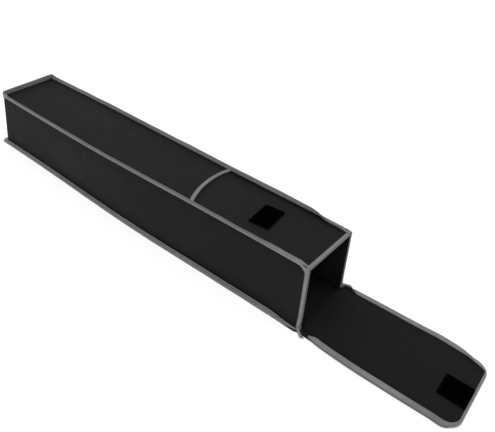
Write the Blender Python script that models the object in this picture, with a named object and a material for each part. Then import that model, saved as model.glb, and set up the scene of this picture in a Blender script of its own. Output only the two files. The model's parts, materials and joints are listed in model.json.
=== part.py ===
# Gift wrap organizer: a long bound-seam fabric box with a folding lid, lying open.
# +X runs from the far end to the mouth and lid, +Y to the back, +Z up from the floor.
# The origin is the middle of the box's underside. Units are metres.

import math

import bmesh
import bpy

# Box
BOX_LENGTH = 1.040
BOX_WIDTH = 0.153
BOX_HEIGHT = 0.149
CORNER_RADIUS = 0.004

# Layers
CLOTH = 0.0008
BOARD = 0.0020
LINING = 0.0006
TAPE = 0.0008
GAP = 0.0003

# Bound seams
TAPE_WIDTH = 0.0120
TOP_SEAM_HEIGHT = 0.0110
TOP_ALLOWANCE = 0.0044
BOTTOM_SEAM_REACH = 0.0123
BOTTOM_JOGGLE = 0.0055
FLAT_SEAM_ANGLE = math.radians(88)
SEAM_TURN_LENGTH = 0.075

# Pocket on the top
POCKET_SETBACK = 0.307
POCKET_SLANT = 0.014
POCKET_BOW = 0.015

# Hook and loop closure
LOOP_LENGTH = 0.046
LOOP_WIDTH = 0.070
LOOP_THICKNESS = 0.0027
LOOP_SETBACK = 0.153
LOOP_OFFSET = 0.004
LOOP_TURN = math.radians(7)
HOOK_LENGTH = 0.051
HOOK_WIDTH = 0.050
HOOK_OFFSET = 0.009

# Lid
TONGUE_LENGTH = 0.165
TONGUE_RADIUS = 0.030
TIP_TAPE_WIDTH = 0.0055
FOLD_GAP = 0.0005

# Webbing handle
WEBBING = 0.0012
WEBBING_WIDTH = 0.020
HANDLE_SPACING = 0.090
HANDLE_REACH = 0.048
HANDLE_HEIGHT = 0.056
HANDLE_TAIL = 0.025
FOLD_SLACK = 0.0002

# How finely round stretches are cut
CORNER_STEPS = 6
TONGUE_STEPS = 10
POCKET_STEPS = 16
TURN_STEPS = 12

CUT_OVERRUN = 0.010

# Places that follow from the sizes above
MOUTH = BOX_LENGTH / 2
FAR = -BOX_LENGTH / 2 + CLOTH
ROOT = BOX_WIDTH / 2 - CLOTH
WALL_END = MOUTH - TAPE - GAP
SEAM_END = MOUTH - TAPE_WIDTH - GAP
WALL_STACK = CLOTH + BOARD + LINING + 2 * GAP

# The bottom seam's layers, counted up from the floor
FLANGE_LOW = TAPE + GAP
FLANGE_HIGH = FLANGE_LOW + CLOTH + GAP
SEAM_TOP = FLANGE_HIGH + CLOTH + GAP
FLANGE_REACH = BOTTOM_SEAM_REACH - GAP - TAPE

BOTTOM_BOARD_LOW = FLANGE_HIGH
BOTTOM_LINING_LOW = BOTTOM_BOARD_LOW + BOARD + GAP
BOTTOM_LINING_TOP = BOTTOM_LINING_LOW + LINING
TOP_BOARD_LOW = BOX_HEIGHT - CLOTH - GAP - BOARD
TOP_LINING_LOW = TOP_BOARD_LOW - GAP - LINING

# The top seam's layers, counted outward from the wall cloth's inner face
PANEL_OUT = -GAP
PANEL_IN = PANEL_OUT - CLOTH
TAPE_OUTER_IN = CLOTH + GAP
TAPE_OUTER_OUT = TAPE_OUTER_IN + TAPE
TAPE_INNER_OUT = PANEL_IN - GAP
TAPE_INNER_IN = TAPE_INNER_OUT - TAPE
SEAM_PIVOT = BOX_HEIGHT + GAP - TAPE_INNER_IN
SEAM_FLANGE = BOX_HEIGHT + TOP_SEAM_HEIGHT - SEAM_PIVOT - GAP - TAPE

# The pocket stands off the top by its own folded tape
POCKET_LOW = BOX_HEIGHT + GAP + TAPE + GAP
POCKET_MOUTH = MOUTH - POCKET_SETBACK

# Handle and lid heights, counted up from the floor
GRIP_LOW = 0
LEG_LOW = WEBBING + FOLD_SLACK
LID_CLOTH_LOW = LEG_LOW + WEBBING + GAP
LID_LOW = LID_CLOTH_LOW - TAPE - GAP
LID_BOARD_LOW = LID_CLOTH_LOW + CLOTH + GAP
LID_LINING_LOW = LID_BOARD_LOW + BOARD + GAP
LID_LINING_TOP = LID_LINING_LOW + LINING
LID_TOP = LID_LINING_TOP + GAP + TAPE
LID_HALF = ROOT + BOTTOM_SEAM_REACH
LID_CLOTH_HALF = LID_HALF - TAPE - GAP

# Both folds turn about the lid's inner face
FLAT_SEAM_TOP = SEAM_PIVOT + TAPE_OUTER_OUT
CLOSED_TONGUE = FLAT_SEAM_TOP + 2 * GAP
HINGE_X = MOUTH + GAP
FOLD_X = HINGE_X + CLOSED_TONGUE - LID_TOP
LID_START = MOUTH + FOLD_GAP
TIP_X = FOLD_X + TONGUE_LENGTH
HOOK_LOW = LID_LINING_TOP + GAP
HOOK_TOP = LID_TOP + CLOSED_TONGUE - (BOX_HEIGHT + GAP + LOOP_THICKNESS + GAP)
HANDLE_X = HINGE_X + HANDLE_HEIGHT
HANDLE_AXIS_Z = LEG_LOW - GAP / 2

# The top seams lie down before they pass under the closed tongue
TURN_END = HINGE_X - TONGUE_LENGTH - GAP - SEAM_FLANGE
TURN_START = TURN_END - SEAM_TURN_LENGTH


def clear_scene():
    for obj in list(bpy.data.objects):
        bpy.data.objects.remove(obj, do_unlink=True)


def make_material(name, colour, roughness):
    material = bpy.data.materials.new(name)
    material.use_nodes = True
    shader = material.node_tree.nodes["Principled BSDF"]
    shader.inputs["Base Color"].default_value = (*colour, 1.0)
    shader.inputs["Roughness"].default_value = roughness
    shader.inputs["Metallic"].default_value = 0.0
    return material


def make_carrier(name, place, parent=None):
    carrier = bpy.data.objects.new(name, None)
    bpy.context.scene.collection.objects.link(carrier)
    carrier.parent = parent
    home = parent["place"] if parent else (0, 0, 0)
    carrier.location = [here - there for here, there in zip(place, home)]
    carrier["place"] = place
    return carrier


def add_piece(name, bm, material, carrier=None):
    bmesh.ops.recalc_face_normals(bm, faces=bm.faces)
    if carrier:
        bmesh.ops.translate(bm, vec=[-value for value in carrier["place"]], verts=bm.verts)
    mesh = bpy.data.meshes.new(name)
    bm.to_mesh(mesh)
    bm.free()
    mesh.materials.append(material)
    piece = bpy.data.objects.new(name, mesh)
    bpy.context.scene.collection.objects.link(piece)
    piece.parent = carrier
    return piece


# A path is a list of stations. Each has a point, the way out from the piece, and the profile's second axis.
# This one runs along the front, round the end and back along the rear.

def u_path(start_x, end_x, half, radius, steps, stops=()):
    way = math.copysign(1, end_x - start_x)
    up = (0, 0, 1)
    corner_x = end_x - way * radius
    side = [start_x] + sorted(stops, reverse=way < 0)
    path = [((x, -half, 0), (0, -1, 0), up) for x in side]
    for sign in (-1, 1):
        for step in range(steps + 1):
            turn = math.pi / 2 * (step / steps if sign < 0 else 1 - step / steps)
            out = (way * math.sin(turn), sign * math.cos(turn), 0)
            centre = (corner_x, sign * (half - radius), 0)
            path.append((tuple(c + radius * o for c, o in zip(centre, out)), out, up))
    path += [((x, half, 0), (0, 1, 0), up) for x in reversed(side)]
    return path


def body_path(mouth_x, stops=()):
    return u_path(mouth_x, FAR, ROOT, CORNER_RADIUS, CORNER_STEPS, stops)


def outline(path, offset=0):
    return [(p[0] + offset * out[0], p[1] + offset * out[1]) for p, out, axis in path]


def ring_points(station, profile):
    point, out, axis = station
    return [tuple(p + n * o + k * a for p, o, a in zip(point, out, axis)) for n, k in profile]


def rectangle(x_low, x_high, y_low, y_high):
    return [(x_low, y_low), (x_high, y_low), (x_high, y_high), (x_low, y_high)]


def plate(points, low, high):
    bm = bmesh.new()
    face = bm.faces.new([bm.verts.new((x, y, low)) for x, y in points])
    grown = bmesh.ops.extrude_face_region(bm, geom=[face])
    raised = [item for item in grown["geom"] if isinstance(item, bmesh.types.BMVert)]
    bmesh.ops.translate(bm, vec=(0, 0, high - low), verts=raised)
    return bm


# Two faces between rings, split from low to high, so that twisted layers keep their distance

def bridge(bm, near, far, j):
    if near[j].co.z >= near[j - 1].co.z:
        bm.faces.new((near[j - 1], near[j], far[j]))
        bm.faces.new((near[j - 1], far[j], far[j - 1]))
    else:
        bm.faces.new((near[j - 1], near[j], far[j - 1]))
        bm.faces.new((near[j], far[j], far[j - 1]))


# A closed profile carried along a path and capped at both ends

def sweep(path, profile_at):
    bm = bmesh.new()
    rings = [[bm.verts.new(p) for p in ring_points(s, profile_at(s))] for s in path]
    for near, far in zip(rings, rings[1:]):
        for j in range(len(near)):
            bridge(bm, near, far, j)
    bm.faces.new(rings[0])
    bm.faces.new(reversed(rings[-1]))
    return bm


# A flat panel whose three edges carry a rim: the profile runs from its upper to its lower face

def rimmed_plate(path, profile_at):
    bm = bmesh.new()
    rings = [[bm.verts.new(p) for p in ring_points(s, profile_at(s))] for s in path]
    for near, far in zip(rings, rings[1:]):
        for j in range(1, len(near)):
            bridge(bm, near, far, j)
    bm.faces.new(rings[0])
    bm.faces.new(reversed(rings[-1]))
    bm.faces.new([ring[0] for ring in rings])
    bm.faces.new([ring[-1] for ring in reversed(rings)])
    bm.faces.new((rings[0][0], rings[-1][0], rings[-1][-1], rings[0][-1]))
    return bm


# Section of a tape folded over an edge: it covers both faces by reach and closes round the edge

def folded_tape(low, high, reach):
    return [
        (-reach, low), (GAP + TAPE, low), (GAP + TAPE, high), (-reach, high),
        (-reach, high - TAPE), (GAP, high - TAPE), (GAP, low + TAPE), (-reach, low + TAPE),
    ]


# The top seam stands up, and turns down flat where the tongue closes over it. Both cloths reach into the
# folded tape by the seam allowance only, and the rest of the tape folds over nothing.

def seam_tilt(x):
    share = min(max((x - TURN_START) / (TURN_END - TURN_START), 0), 1)
    return FLAT_SEAM_ANGLE * share * share * (3 - 2 * share)


def seam_point(along, layer, tilt):
    across = layer * math.cos(tilt) - along * math.sin(tilt)
    return across, SEAM_PIVOT + along * math.cos(tilt) + layer * math.sin(tilt)


def seam_bend(layer, tilt):
    return layer, SEAM_PIVOT + layer * math.tan(tilt / 2)


def seam_stops():
    return [TURN_START + SEAM_TURN_LENGTH * step / TURN_STEPS for step in range(TURN_STEPS + 1)]


def wall_profile(station):
    tilt = seam_tilt(station[0][0])
    return [
        (0, FLANGE_HIGH), (FLANGE_REACH, FLANGE_HIGH),
        (FLANGE_REACH, FLANGE_HIGH + CLOTH), (CLOTH, FLANGE_HIGH + CLOTH),
        seam_bend(CLOTH, tilt), seam_point(TOP_ALLOWANCE, CLOTH, tilt),
        seam_point(TOP_ALLOWANCE, 0, tilt), seam_bend(0, tilt),
    ]


def top_profile(station):
    tilt = seam_tilt(station[0][0])
    return [
        (PANEL_IN, BOX_HEIGHT), seam_bend(PANEL_IN, tilt), seam_point(TOP_ALLOWANCE, PANEL_IN, tilt),
        seam_point(TOP_ALLOWANCE, PANEL_OUT, tilt), seam_bend(PANEL_OUT, tilt), (PANEL_OUT, BOX_HEIGHT - CLOTH),
    ]


def top_tape_profile(station):
    tilt = seam_tilt(station[0][0])
    tip = SEAM_FLANGE + GAP
    inner = -TAPE_INNER_OUT * math.tan(tilt / 2)
    return [
        (TAPE_OUTER_IN, BOX_HEIGHT - CLOTH), (TAPE_OUTER_OUT, BOX_HEIGHT - CLOTH),
        seam_bend(TAPE_OUTER_OUT, tilt), seam_point(tip + TAPE, TAPE_OUTER_OUT, tilt),
        seam_point(tip + TAPE, TAPE_INNER_IN, tilt), seam_point(inner, TAPE_INNER_IN, tilt),
        seam_point(inner, TAPE_INNER_OUT, tilt), seam_point(TOP_ALLOWANCE, TAPE_INNER_OUT, tilt),
        seam_point(tip, TAPE_INNER_OUT, tilt), seam_point(tip, TAPE_OUTER_IN, tilt),
        seam_point(TOP_ALLOWANCE, TAPE_OUTER_IN, tilt), seam_bend(TAPE_OUTER_IN, tilt),
    ]


def bottom_profile(station):
    return [
        (-BOTTOM_JOGGLE, CLOTH), (-GAP, FLANGE_LOW + CLOTH), (FLANGE_REACH, FLANGE_LOW + CLOTH),
        (FLANGE_REACH, FLANGE_LOW), (-GAP, FLANGE_LOW), (-BOTTOM_JOGGLE, 0),
    ]


def bottom_tape_profile(station):
    tip = FLANGE_REACH + GAP
    start = CLOTH + GAP
    return [
        (start, 0), (tip + TAPE, 0), (tip + TAPE, SEAM_TOP + TAPE), (start, SEAM_TOP + TAPE),
        (start, SEAM_TOP), (tip, SEAM_TOP), (tip, TAPE), (start, TAPE),
    ]


# Takes the seam's flanges off inside the mouth binding

def seam_end_cutter():
    reach = BOX_WIDTH / 2 + CUT_OVERRUN
    top = BOX_HEIGHT + TOP_SEAM_HEIGHT + CUT_OVERRUN
    bm = plate(rectangle(SEAM_END, MOUTH + CUT_OVERRUN, -reach, reach), BOX_HEIGHT + GAP / 3, top)
    cutter = add_piece("seam_end_cutter", bm, bpy.data.materials["cloth"])
    cutter.hide_render = True
    cutter.display_type = "WIRE"
    return cutter


def cut_with(piece, cutter, operation="DIFFERENCE"):
    modifier = piece.modifiers.new(cutter.name, "BOOLEAN")
    modifier.object = cutter
    modifier.operation = operation
    modifier.solver = "EXACT"


def build_bottom(cloth, card, lining, tape):
    add_piece("bottom_panel", rimmed_plate(body_path(MOUTH), bottom_profile), cloth)
    inner = outline(body_path(MOUTH), -GAP)
    add_piece("bottom_board", plate(inner, BOTTOM_BOARD_LOW, BOTTOM_BOARD_LOW + BOARD), card)
    inner = outline(body_path(MOUTH), -BOARD - 2 * GAP)
    add_piece("bottom_lining", plate(inner, BOTTOM_LINING_LOW, BOTTOM_LINING_TOP), lining)
    add_piece("bottom_seam_binding", sweep(body_path(MOUTH), bottom_tape_profile), tape)


def build_walls(cloth, card, lining, cutter):
    wrap = add_piece("side_wall_wrap", sweep(body_path(WALL_END, seam_stops()), wall_profile), cloth)
    cut_with(wrap, cutter)
    low = BOTTOM_LINING_LOW
    high = TOP_BOARD_LOW - GAP
    outer = ROOT - GAP
    for name, sign in (("front_board", -1), ("back_board", 1)):
        sides = sorted((sign * outer, sign * (outer - BOARD)))
        points = rectangle(FAR + CORNER_RADIUS, WALL_END, *sides)
        add_piece(name, plate(points, low, high), card)
    end = FAR + GAP
    half = ROOT - CORNER_RADIUS
    add_piece("end_board", plate(rectangle(end, end + BOARD, -half, half), low, high), card)
    face = -BOARD - 2 * GAP
    bottom = BOTTOM_LINING_TOP + GAP
    top = TOP_LINING_LOW - GAP
    section = [(face - LINING, bottom), (face, bottom), (face, top), (face - LINING, top)]
    add_piece("side_lining", sweep(body_path(WALL_END), lambda station: section), lining)


def build_top(cloth, card, lining, tape, cutter):
    panel = add_piece("top_panel", rimmed_plate(body_path(WALL_END, seam_stops()), top_profile), cloth)
    cut_with(panel, cutter)
    inner = outline(body_path(WALL_END), -GAP)
    add_piece("top_board", plate(inner, TOP_BOARD_LOW, TOP_BOARD_LOW + BOARD), card)
    inner = outline(body_path(WALL_END), -BOARD - 2 * GAP)
    add_piece("top_lining", plate(inner, TOP_LINING_LOW, TOP_LINING_LOW + LINING), lining)
    add_piece("top_seam_binding", sweep(body_path(SEAM_END, seam_stops()), top_tape_profile), tape)


def pocket_edge(y, half):
    share = y / half
    return POCKET_MOUTH - POCKET_SLANT * share - POCKET_BOW * (1 - share * share)


def build_pocket(cloth, tape):
    half = ROOT + TAPE_INNER_OUT
    rows = [half - 2 * half * step / POCKET_STEPS for step in range(POCKET_STEPS + 1)]
    around = outline(body_path(POCKET_MOUTH), TAPE_INNER_OUT)[1:-1]
    points = around + [(pocket_edge(y, half), y) for y in rows]
    add_piece("pocket_panel", plate(points, POCKET_LOW, POCKET_LOW + CLOTH), cloth)
    end = ROOT + TAPE_INNER_IN - GAP
    low = POCKET_LOW - GAP - TAPE
    section = folded_tape(low, POCKET_LOW + CLOTH + GAP + TAPE, TAPE_WIDTH)
    path = []
    for step in range(POCKET_STEPS + 1):
        y = -end + 2 * end * step / POCKET_STEPS
        path.append(((pocket_edge(y, half), y, 0), (1, 0, 0), (0, 0, 1)))
    add_piece("pocket_mouth_binding", sweep(path, lambda station: section), tape)


def build_mouth(tape):
    half = BOX_WIDTH / 2
    low = BOTTOM_LINING_TOP + GAP
    along = (1, 0, 0)
    path = [
        ((0, -half, low), (0, -1, 0), along), ((0, -half, BOX_HEIGHT), (0, -1, 1), along),
        ((0, half, BOX_HEIGHT), (0, 1, 1), along), ((0, half, low), (0, 1, 0), along),
    ]
    start = MOUTH - TAPE_WIDTH
    outer = GAP + TAPE
    inner = -WALL_STACK - GAP - TAPE
    section = [
        (outer, start), (outer, MOUTH), (inner, MOUTH), (inner, start),
        (inner + TAPE, start), (inner + TAPE, MOUTH - TAPE), (GAP, MOUTH - TAPE), (GAP, start),
    ]
    add_piece("mouth_binding", sweep(path, lambda station: section), tape)


def build_loop(patch):
    middle = MOUTH - LOOP_SETBACK
    corners = rectangle(-LOOP_LENGTH / 2, LOOP_LENGTH / 2, -LOOP_WIDTH / 2, LOOP_WIDTH / 2)
    cos, sin = math.cos(LOOP_TURN), math.sin(LOOP_TURN)
    points = [(middle + x * cos - y * sin, -LOOP_OFFSET + x * sin + y * cos) for x, y in corners]
    low = BOX_HEIGHT + GAP
    add_piece("loop_patch", plate(points, low, low + LOOP_THICKNESS), patch)


def build_lid_end(cloth, card, lining, tape, hinge):
    end = FOLD_X - FOLD_GAP / 2
    half = LID_CLOTH_HALF
    points = rectangle(LID_START, end, -half, half)
    add_piece("lid_end_panel", plate(points, LID_CLOTH_LOW, LID_CLOTH_LOW + CLOTH), cloth, hinge)
    add_piece("lid_end_board", plate(points, LID_BOARD_LOW, LID_BOARD_LOW + BOARD), card, hinge)
    add_piece("lid_end_lining", plate(points, LID_LINING_LOW, LID_LINING_TOP), lining, hinge)
    section = folded_tape(LID_LOW, LID_TOP, TAPE_WIDTH - TAPE - GAP)
    for name, sign in (("lid_end_binding_front", -1), ("lid_end_binding_back", 1)):
        path = [((x, sign * half, 0), (0, sign, 0), (0, 0, 1)) for x in (LID_START, end)]
        add_piece(name, sweep(path, lambda station: section), tape, hinge)


# The tape overlaps the tongue less across its tip, where the hook patch comes close to the edge.

def tongue_tape_profile(station):
    turned = station[1][0]
    width = TAPE_WIDTH + (TIP_TAPE_WIDTH - TAPE_WIDTH) * turned
    return folded_tape(LID_LOW, LID_TOP, width - TAPE - GAP)


def build_tongue(cloth, card, lining, tape, patch, fold):
    start = FOLD_X + FOLD_GAP / 2
    tip = TIP_X - TAPE - GAP
    radius = TONGUE_RADIUS - TAPE - GAP
    path = u_path(start, tip, LID_CLOTH_HALF, radius, TONGUE_STEPS)
    points = outline(path)
    add_piece("tongue_panel", plate(points, LID_CLOTH_LOW, LID_CLOTH_LOW + CLOTH), cloth, fold)
    add_piece("tongue_board", plate(points, LID_BOARD_LOW, LID_BOARD_LOW + BOARD), card, fold)
    add_piece("tongue_lining", plate(points, LID_LINING_LOW, LID_LINING_TOP), lining, fold)
    add_piece("tongue_binding", sweep(path, tongue_tape_profile), tape, fold)
    end = TIP_X - TIP_TAPE_WIDTH - GAP
    side = HOOK_WIDTH / 2
    points = rectangle(end - HOOK_LENGTH, end, -HOOK_OFFSET - side, -HOOK_OFFSET + side)
    add_piece("hook_patch", plate(points, HOOK_LOW, HOOK_TOP), patch, fold)


def build_handle(webbing, hinge, swing):
    inside = (HANDLE_SPACING - WEBBING_WIDTH) / 2
    outside = inside + WEBBING_WIDTH
    tail = HANDLE_X + GAP
    for name, sign in (("handle_tail_front", -1), ("handle_tail_back", 1)):
        points = rectangle(tail, tail + HANDLE_TAIL, *sorted((sign * inside, sign * outside)))
        add_piece(name, plate(points, LEG_LOW, LEG_LOW + WEBBING), webbing, hinge)

    # The webbing is folded at 45 degrees, so each outer corner is cut off by its crease.
    end = HANDLE_X - HANDLE_REACH
    crease = end + WEBBING_WIDTH
    grip_points = [(end, -inside), (crease, -outside), (crease, outside), (end, inside)]
    strap = add_piece("handle_strap", plate(grip_points, GRIP_LOW, WEBBING), webbing, swing)
    root = HANDLE_X - GAP
    inset = WEBBING / 4
    crease_end = end + 2 * inset
    crease_root = crease - inset
    for name, sign in (("handle_leg_front", -1), ("handle_leg_back", 1)):
        near = sign * (inside + inset)
        far = sign * (outside - 2 * inset)
        points = [(root, sign * inside), (root, sign * outside)]
        points += [(crease, sign * outside), (end, sign * inside)]
        leg = add_piece(name, plate(points, LEG_LOW, LEG_LOW + WEBBING), webbing, swing)
        points = [(crease_end, near), (crease_root, far)]
        points += [(crease_root, far - sign * WEBBING), (crease_end + WEBBING, near)]
        link = add_piece(name + "_crease", plate(points, WEBBING / 2, LEG_LOW + WEBBING / 2), webbing, swing)
        for layer in (leg, link):
            layer.hide_render = True
            layer.display_type = "WIRE"
            cut_with(strap, layer, "UNION")


def main():
    clear_scene()
    cloth = make_material("cloth", (0.021, 0.021, 0.022), 0.85)
    lining = make_material("lining", (0.015, 0.015, 0.016), 0.85)
    card = make_material("board", (0.30, 0.28, 0.25), 0.9)
    tape = make_material("tape", (0.19, 0.19, 0.19), 0.8)
    patch = make_material("patch", (0.002, 0.002, 0.002), 0.95)
    webbing = make_material("webbing", (0.065, 0.065, 0.066), 0.75)

    hinge = make_carrier("lid_hinge", (HINGE_X, 0, LID_TOP))
    fold = make_carrier("tongue_fold", (FOLD_X, 0, LID_TOP), hinge)
    swing = make_carrier("handle_fold", (HANDLE_X, 0, HANDLE_AXIS_Z), hinge)

    cutter = seam_end_cutter()
    build_bottom(cloth, card, lining, tape)
    build_walls(cloth, card, lining, cutter)
    build_top(cloth, card, lining, tape, cutter)
    build_pocket(cloth, tape)
    build_mouth(tape)
    build_loop(patch)
    build_lid_end(cloth, card, lining, tape, hinge)
    build_tongue(cloth, card, lining, tape, patch, fold)
    build_handle(webbing, hinge, swing)


main()
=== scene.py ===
import json
import math

import bmesh
import bpy
from mathutils import Euler, Matrix, Vector, noise


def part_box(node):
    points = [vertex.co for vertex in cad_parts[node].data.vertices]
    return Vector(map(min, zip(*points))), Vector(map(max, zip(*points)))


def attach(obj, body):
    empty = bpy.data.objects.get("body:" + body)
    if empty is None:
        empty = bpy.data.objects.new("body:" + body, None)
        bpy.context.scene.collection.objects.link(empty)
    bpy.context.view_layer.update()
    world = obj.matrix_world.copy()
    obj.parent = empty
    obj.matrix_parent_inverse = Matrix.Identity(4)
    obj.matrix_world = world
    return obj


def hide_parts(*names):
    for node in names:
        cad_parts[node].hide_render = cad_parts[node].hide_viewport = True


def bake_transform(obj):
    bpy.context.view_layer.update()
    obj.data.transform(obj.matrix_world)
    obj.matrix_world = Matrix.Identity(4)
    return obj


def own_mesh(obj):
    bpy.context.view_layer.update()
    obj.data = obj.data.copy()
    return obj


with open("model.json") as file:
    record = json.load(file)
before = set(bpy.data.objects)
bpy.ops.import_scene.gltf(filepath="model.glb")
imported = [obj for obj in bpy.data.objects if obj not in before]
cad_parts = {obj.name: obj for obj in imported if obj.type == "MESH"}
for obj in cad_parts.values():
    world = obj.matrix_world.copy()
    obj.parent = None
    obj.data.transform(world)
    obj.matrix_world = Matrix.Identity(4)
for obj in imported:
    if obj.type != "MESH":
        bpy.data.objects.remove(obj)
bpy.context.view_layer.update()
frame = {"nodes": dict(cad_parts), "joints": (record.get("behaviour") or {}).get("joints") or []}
print("frame loaded")

# Gauges, in metres
cloth = 0.0008
liningCloth = 0.0006
mouthLeg = 0.0075  # how far the mouth's tape reaches over the walls
ribUnderShare = 0.2  # the upper seams end this part of it short of the mouth
foldGap = 0.0005

# Places read from the frame
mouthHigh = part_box("mouth_binding")[1]
mouthX = mouthHigh.x
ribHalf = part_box("top_seam_binding")[1].y
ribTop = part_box("top_seam_binding")[1].z
ribEnd = mouthX - ribUnderShare * mouthLeg
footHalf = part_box("bottom_seam_binding")[1].y
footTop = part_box("bottom_seam_binding")[1].z
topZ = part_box("top_panel")[0].z + cloth
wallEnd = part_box("front_board")[1].x
farWall = -mouthX + cloth
joints = {joint["name"]: Vector(joint["pos_m"]) for joint in frame["joints"]}
hingeX = joints["lid_hinge"].x
foldX = joints["tongue_fold"].x
tongueTip = 2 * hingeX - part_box("tongue_binding")[1].x + foldX - mouthX + foldGap  # where it lies when closed

# The walls' inner face, their corners, and the level that the upper seams turn about
body = {"root": 0.0757, "corner": 0.0042, "pivot": 0.1515}


def smooth(share):
    share = min(max(share, 0), 1)
    return share * share * (3 - 2 * share)


def bulge(x, middle, spread):
    return math.exp(-0.5 * ((x - middle) / spread) ** 2)


def ripple(co, scale, seed):
    return noise.noise(Vector((co.x * scale, co.y * scale + seed, co.z * scale)))


rib = {
    "turnStartFront": 0.402, "turnStartBack": 0.412, "turnLength": 0.064, "lyingAngle": math.radians(84),
    "standing": math.radians(18), "standIn": 0.012, "standLength": 0.03, "backEnd": 0.44, "backLength": 0.2,
    "wide": 0.012, "turnBelow": 0.001, "turnSoft": 0.002,
    "pressShare": 0.75, "pressIn": 0.022, "pressLength": 0.012, "pressAbove": 0.0006,
    "trimBelow": 0.0012, "trimIn": 0.006, "trimLength": 0.004,
}


# The upper seams stand a little outward, and lie down towards the middle before the mouth
def layDown(co):
    side = math.copysign(1, co.y)
    start = rib["turnStartFront" if side < 0 else "turnStartBack"]
    lying = smooth((co.x - start) / rib["turnLength"])
    standing = rib["standing"] * smooth((co.x - farWall - rib["standIn"]) / rib["standLength"])
    if side > 0:
        standing *= smooth((rib["backEnd"] - co.x) / rib["backLength"])
    rise = co.z - body["pivot"]
    turned = smooth((rise + rib["turnBelow"]) / rib["turnSoft"])
    tilt = (rib["lyingAngle"] * lying - standing * (1 - lying)) * turned
    if abs(co.y) < body["root"] - rib["wide"]:
        return co
    layer = abs(co.y) - body["root"]
    across = layer * math.cos(tilt) - rise * math.sin(tilt)
    up = rise * math.cos(tilt) + layer * math.sin(tilt)
    pressed = rib["pressShare"] * smooth((co.x - mouthX + rib["pressIn"]) / rib["pressLength"])
    z = body["pivot"] + up
    z -= pressed * max(0, z - topZ - rib["pressAbove"])
    return Vector((co.x, side * (body["root"] + across), z))


# The walls' upper edge ends under the mouth's tape
def trimEnd(co):
    trimmed = smooth((co.x - ribEnd + rib["trimIn"]) / rib["trimLength"])
    drop = max(0, co.z - topZ + rib["trimBelow"]) * trimmed
    return Vector((co.x, co.y, co.z - drop))


lean = {
    "rackStart": 0.20, "rackLength": 0.70, "rackMiddle": 0.0028, "rackTilt": 0.0058, "topShare": 1.1,
    "start": -0.38, "length": 0.14, "top": 0.0060, "foot": 0.0080,
}


# The soft box leans and racks a little towards its closed end
def rack(co):
    height = min(max(co.z / topZ, 0), lean["topShare"])
    share = max(0, lean["rackStart"] - co.x) / lean["rackLength"]
    side = min(max(co.y / body["root"], -1), 1)
    lift = height * share * (lean["rackMiddle"] + lean["rackTilt"] * side)
    leaning = smooth((lean["start"] - co.x) / lean["length"])
    slide = leaning * (lean["top"] * height - lean["foot"] * max(0, 1 - height))
    return Vector((co.x + slide, co.y, co.z + lift))


swelling = {
    "x": 0.04, "spread": 0.21, "foot": 0.0088, "top": 0.0036, "middle": 0.0030, "farX": -0.30,
    "farSpread": 0.16, "farTop": 0.0040, "frontX": -0.06, "frontSpread": 0.17, "frontTop": 0.0045,
    "flare": 0.0066, "flareHeight": 0.040, "flareStart": 0.440, "flareLength": 0.060,
}


# The rolls push the long walls outward, and their feet stand out where the mouth opens
def swell(co):
    height = min(max(co.z / topZ, 0), 1)
    push = swelling["foot"] * (1 - height) + swelling["top"] * height
    push += 4 * swelling["middle"] * height * (1 - height)
    push *= bulge(co.x, swelling["x"], swelling["spread"])
    push += swelling["farTop"] * height * bulge(co.x, swelling["farX"], swelling["farSpread"])
    if co.y < 0:
        push += swelling["frontTop"] * height * bulge(co.x, swelling["frontX"], swelling["frontSpread"])
    low = max(0, 1 - co.z / swelling["flareHeight"])
    reach = min(max((footHalf - abs(co.y)) / (footHalf - body["root"]), 0), 1)
    flare = smooth((co.x - swelling["flareStart"]) / swelling["flareLength"]) * low * low * reach
    share = min(max(co.y / body["root"], -1), 1)
    return rack(Vector((co.x, co.y + share * (push + swelling["flare"] * flare), co.z)))


wander = {
    "out": 0.0016, "outScale": 13, "outSeed": 5.0, "up": 0.0010, "upScale": 17, "upSeed": 8.0,
    "soft": 0.008, "footShare": 0.6, "footIn": 0.002, "above": 0.002, "farShare": 0.44, "farLength": 0.035,
    "nearShare": 0.24, "nearX": -0.30, "nearLength": 0.42,
}


# Sewn tape is never quite straight; it stands taller at the far end, and lower along the front
def waver(co):
    top = smooth((co.z - topZ) / wander["soft"])
    foot = smooth((abs(co.y) - body["root"] - wander["footIn"]) / wander["soft"])
    rise = top + wander["footShare"] * foot
    out = math.copysign(wander["out"] * rise * ripple(co, wander["outScale"], wander["outSeed"]), co.y)
    up = wander["up"] * top * ripple(co, wander["upScale"], wander["upSeed"])
    taller = wander["farShare"] * smooth((farWall + wander["farLength"] - co.x) / wander["farLength"])
    if co.y < 0:
        taller -= wander["nearShare"] * smooth((co.x - wander["nearX"]) / wander["nearLength"])
    up += taller * max(0, co.z - topZ - wander["above"])
    return Vector((co.x, co.y + out, co.z + up))


# A frame on a path: its x points out of the piece and its y along the profile's second axis
def station(point, out, up, share=1):
    out = Vector(out).normalized()
    up = Vector(up).normalized()
    turn = Matrix((out, up, out.cross(up))).transposed().to_4x4()
    return Matrix.Translation(point) @ turn @ Matrix.Diagonal((share, 1, 1, 1))


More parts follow.
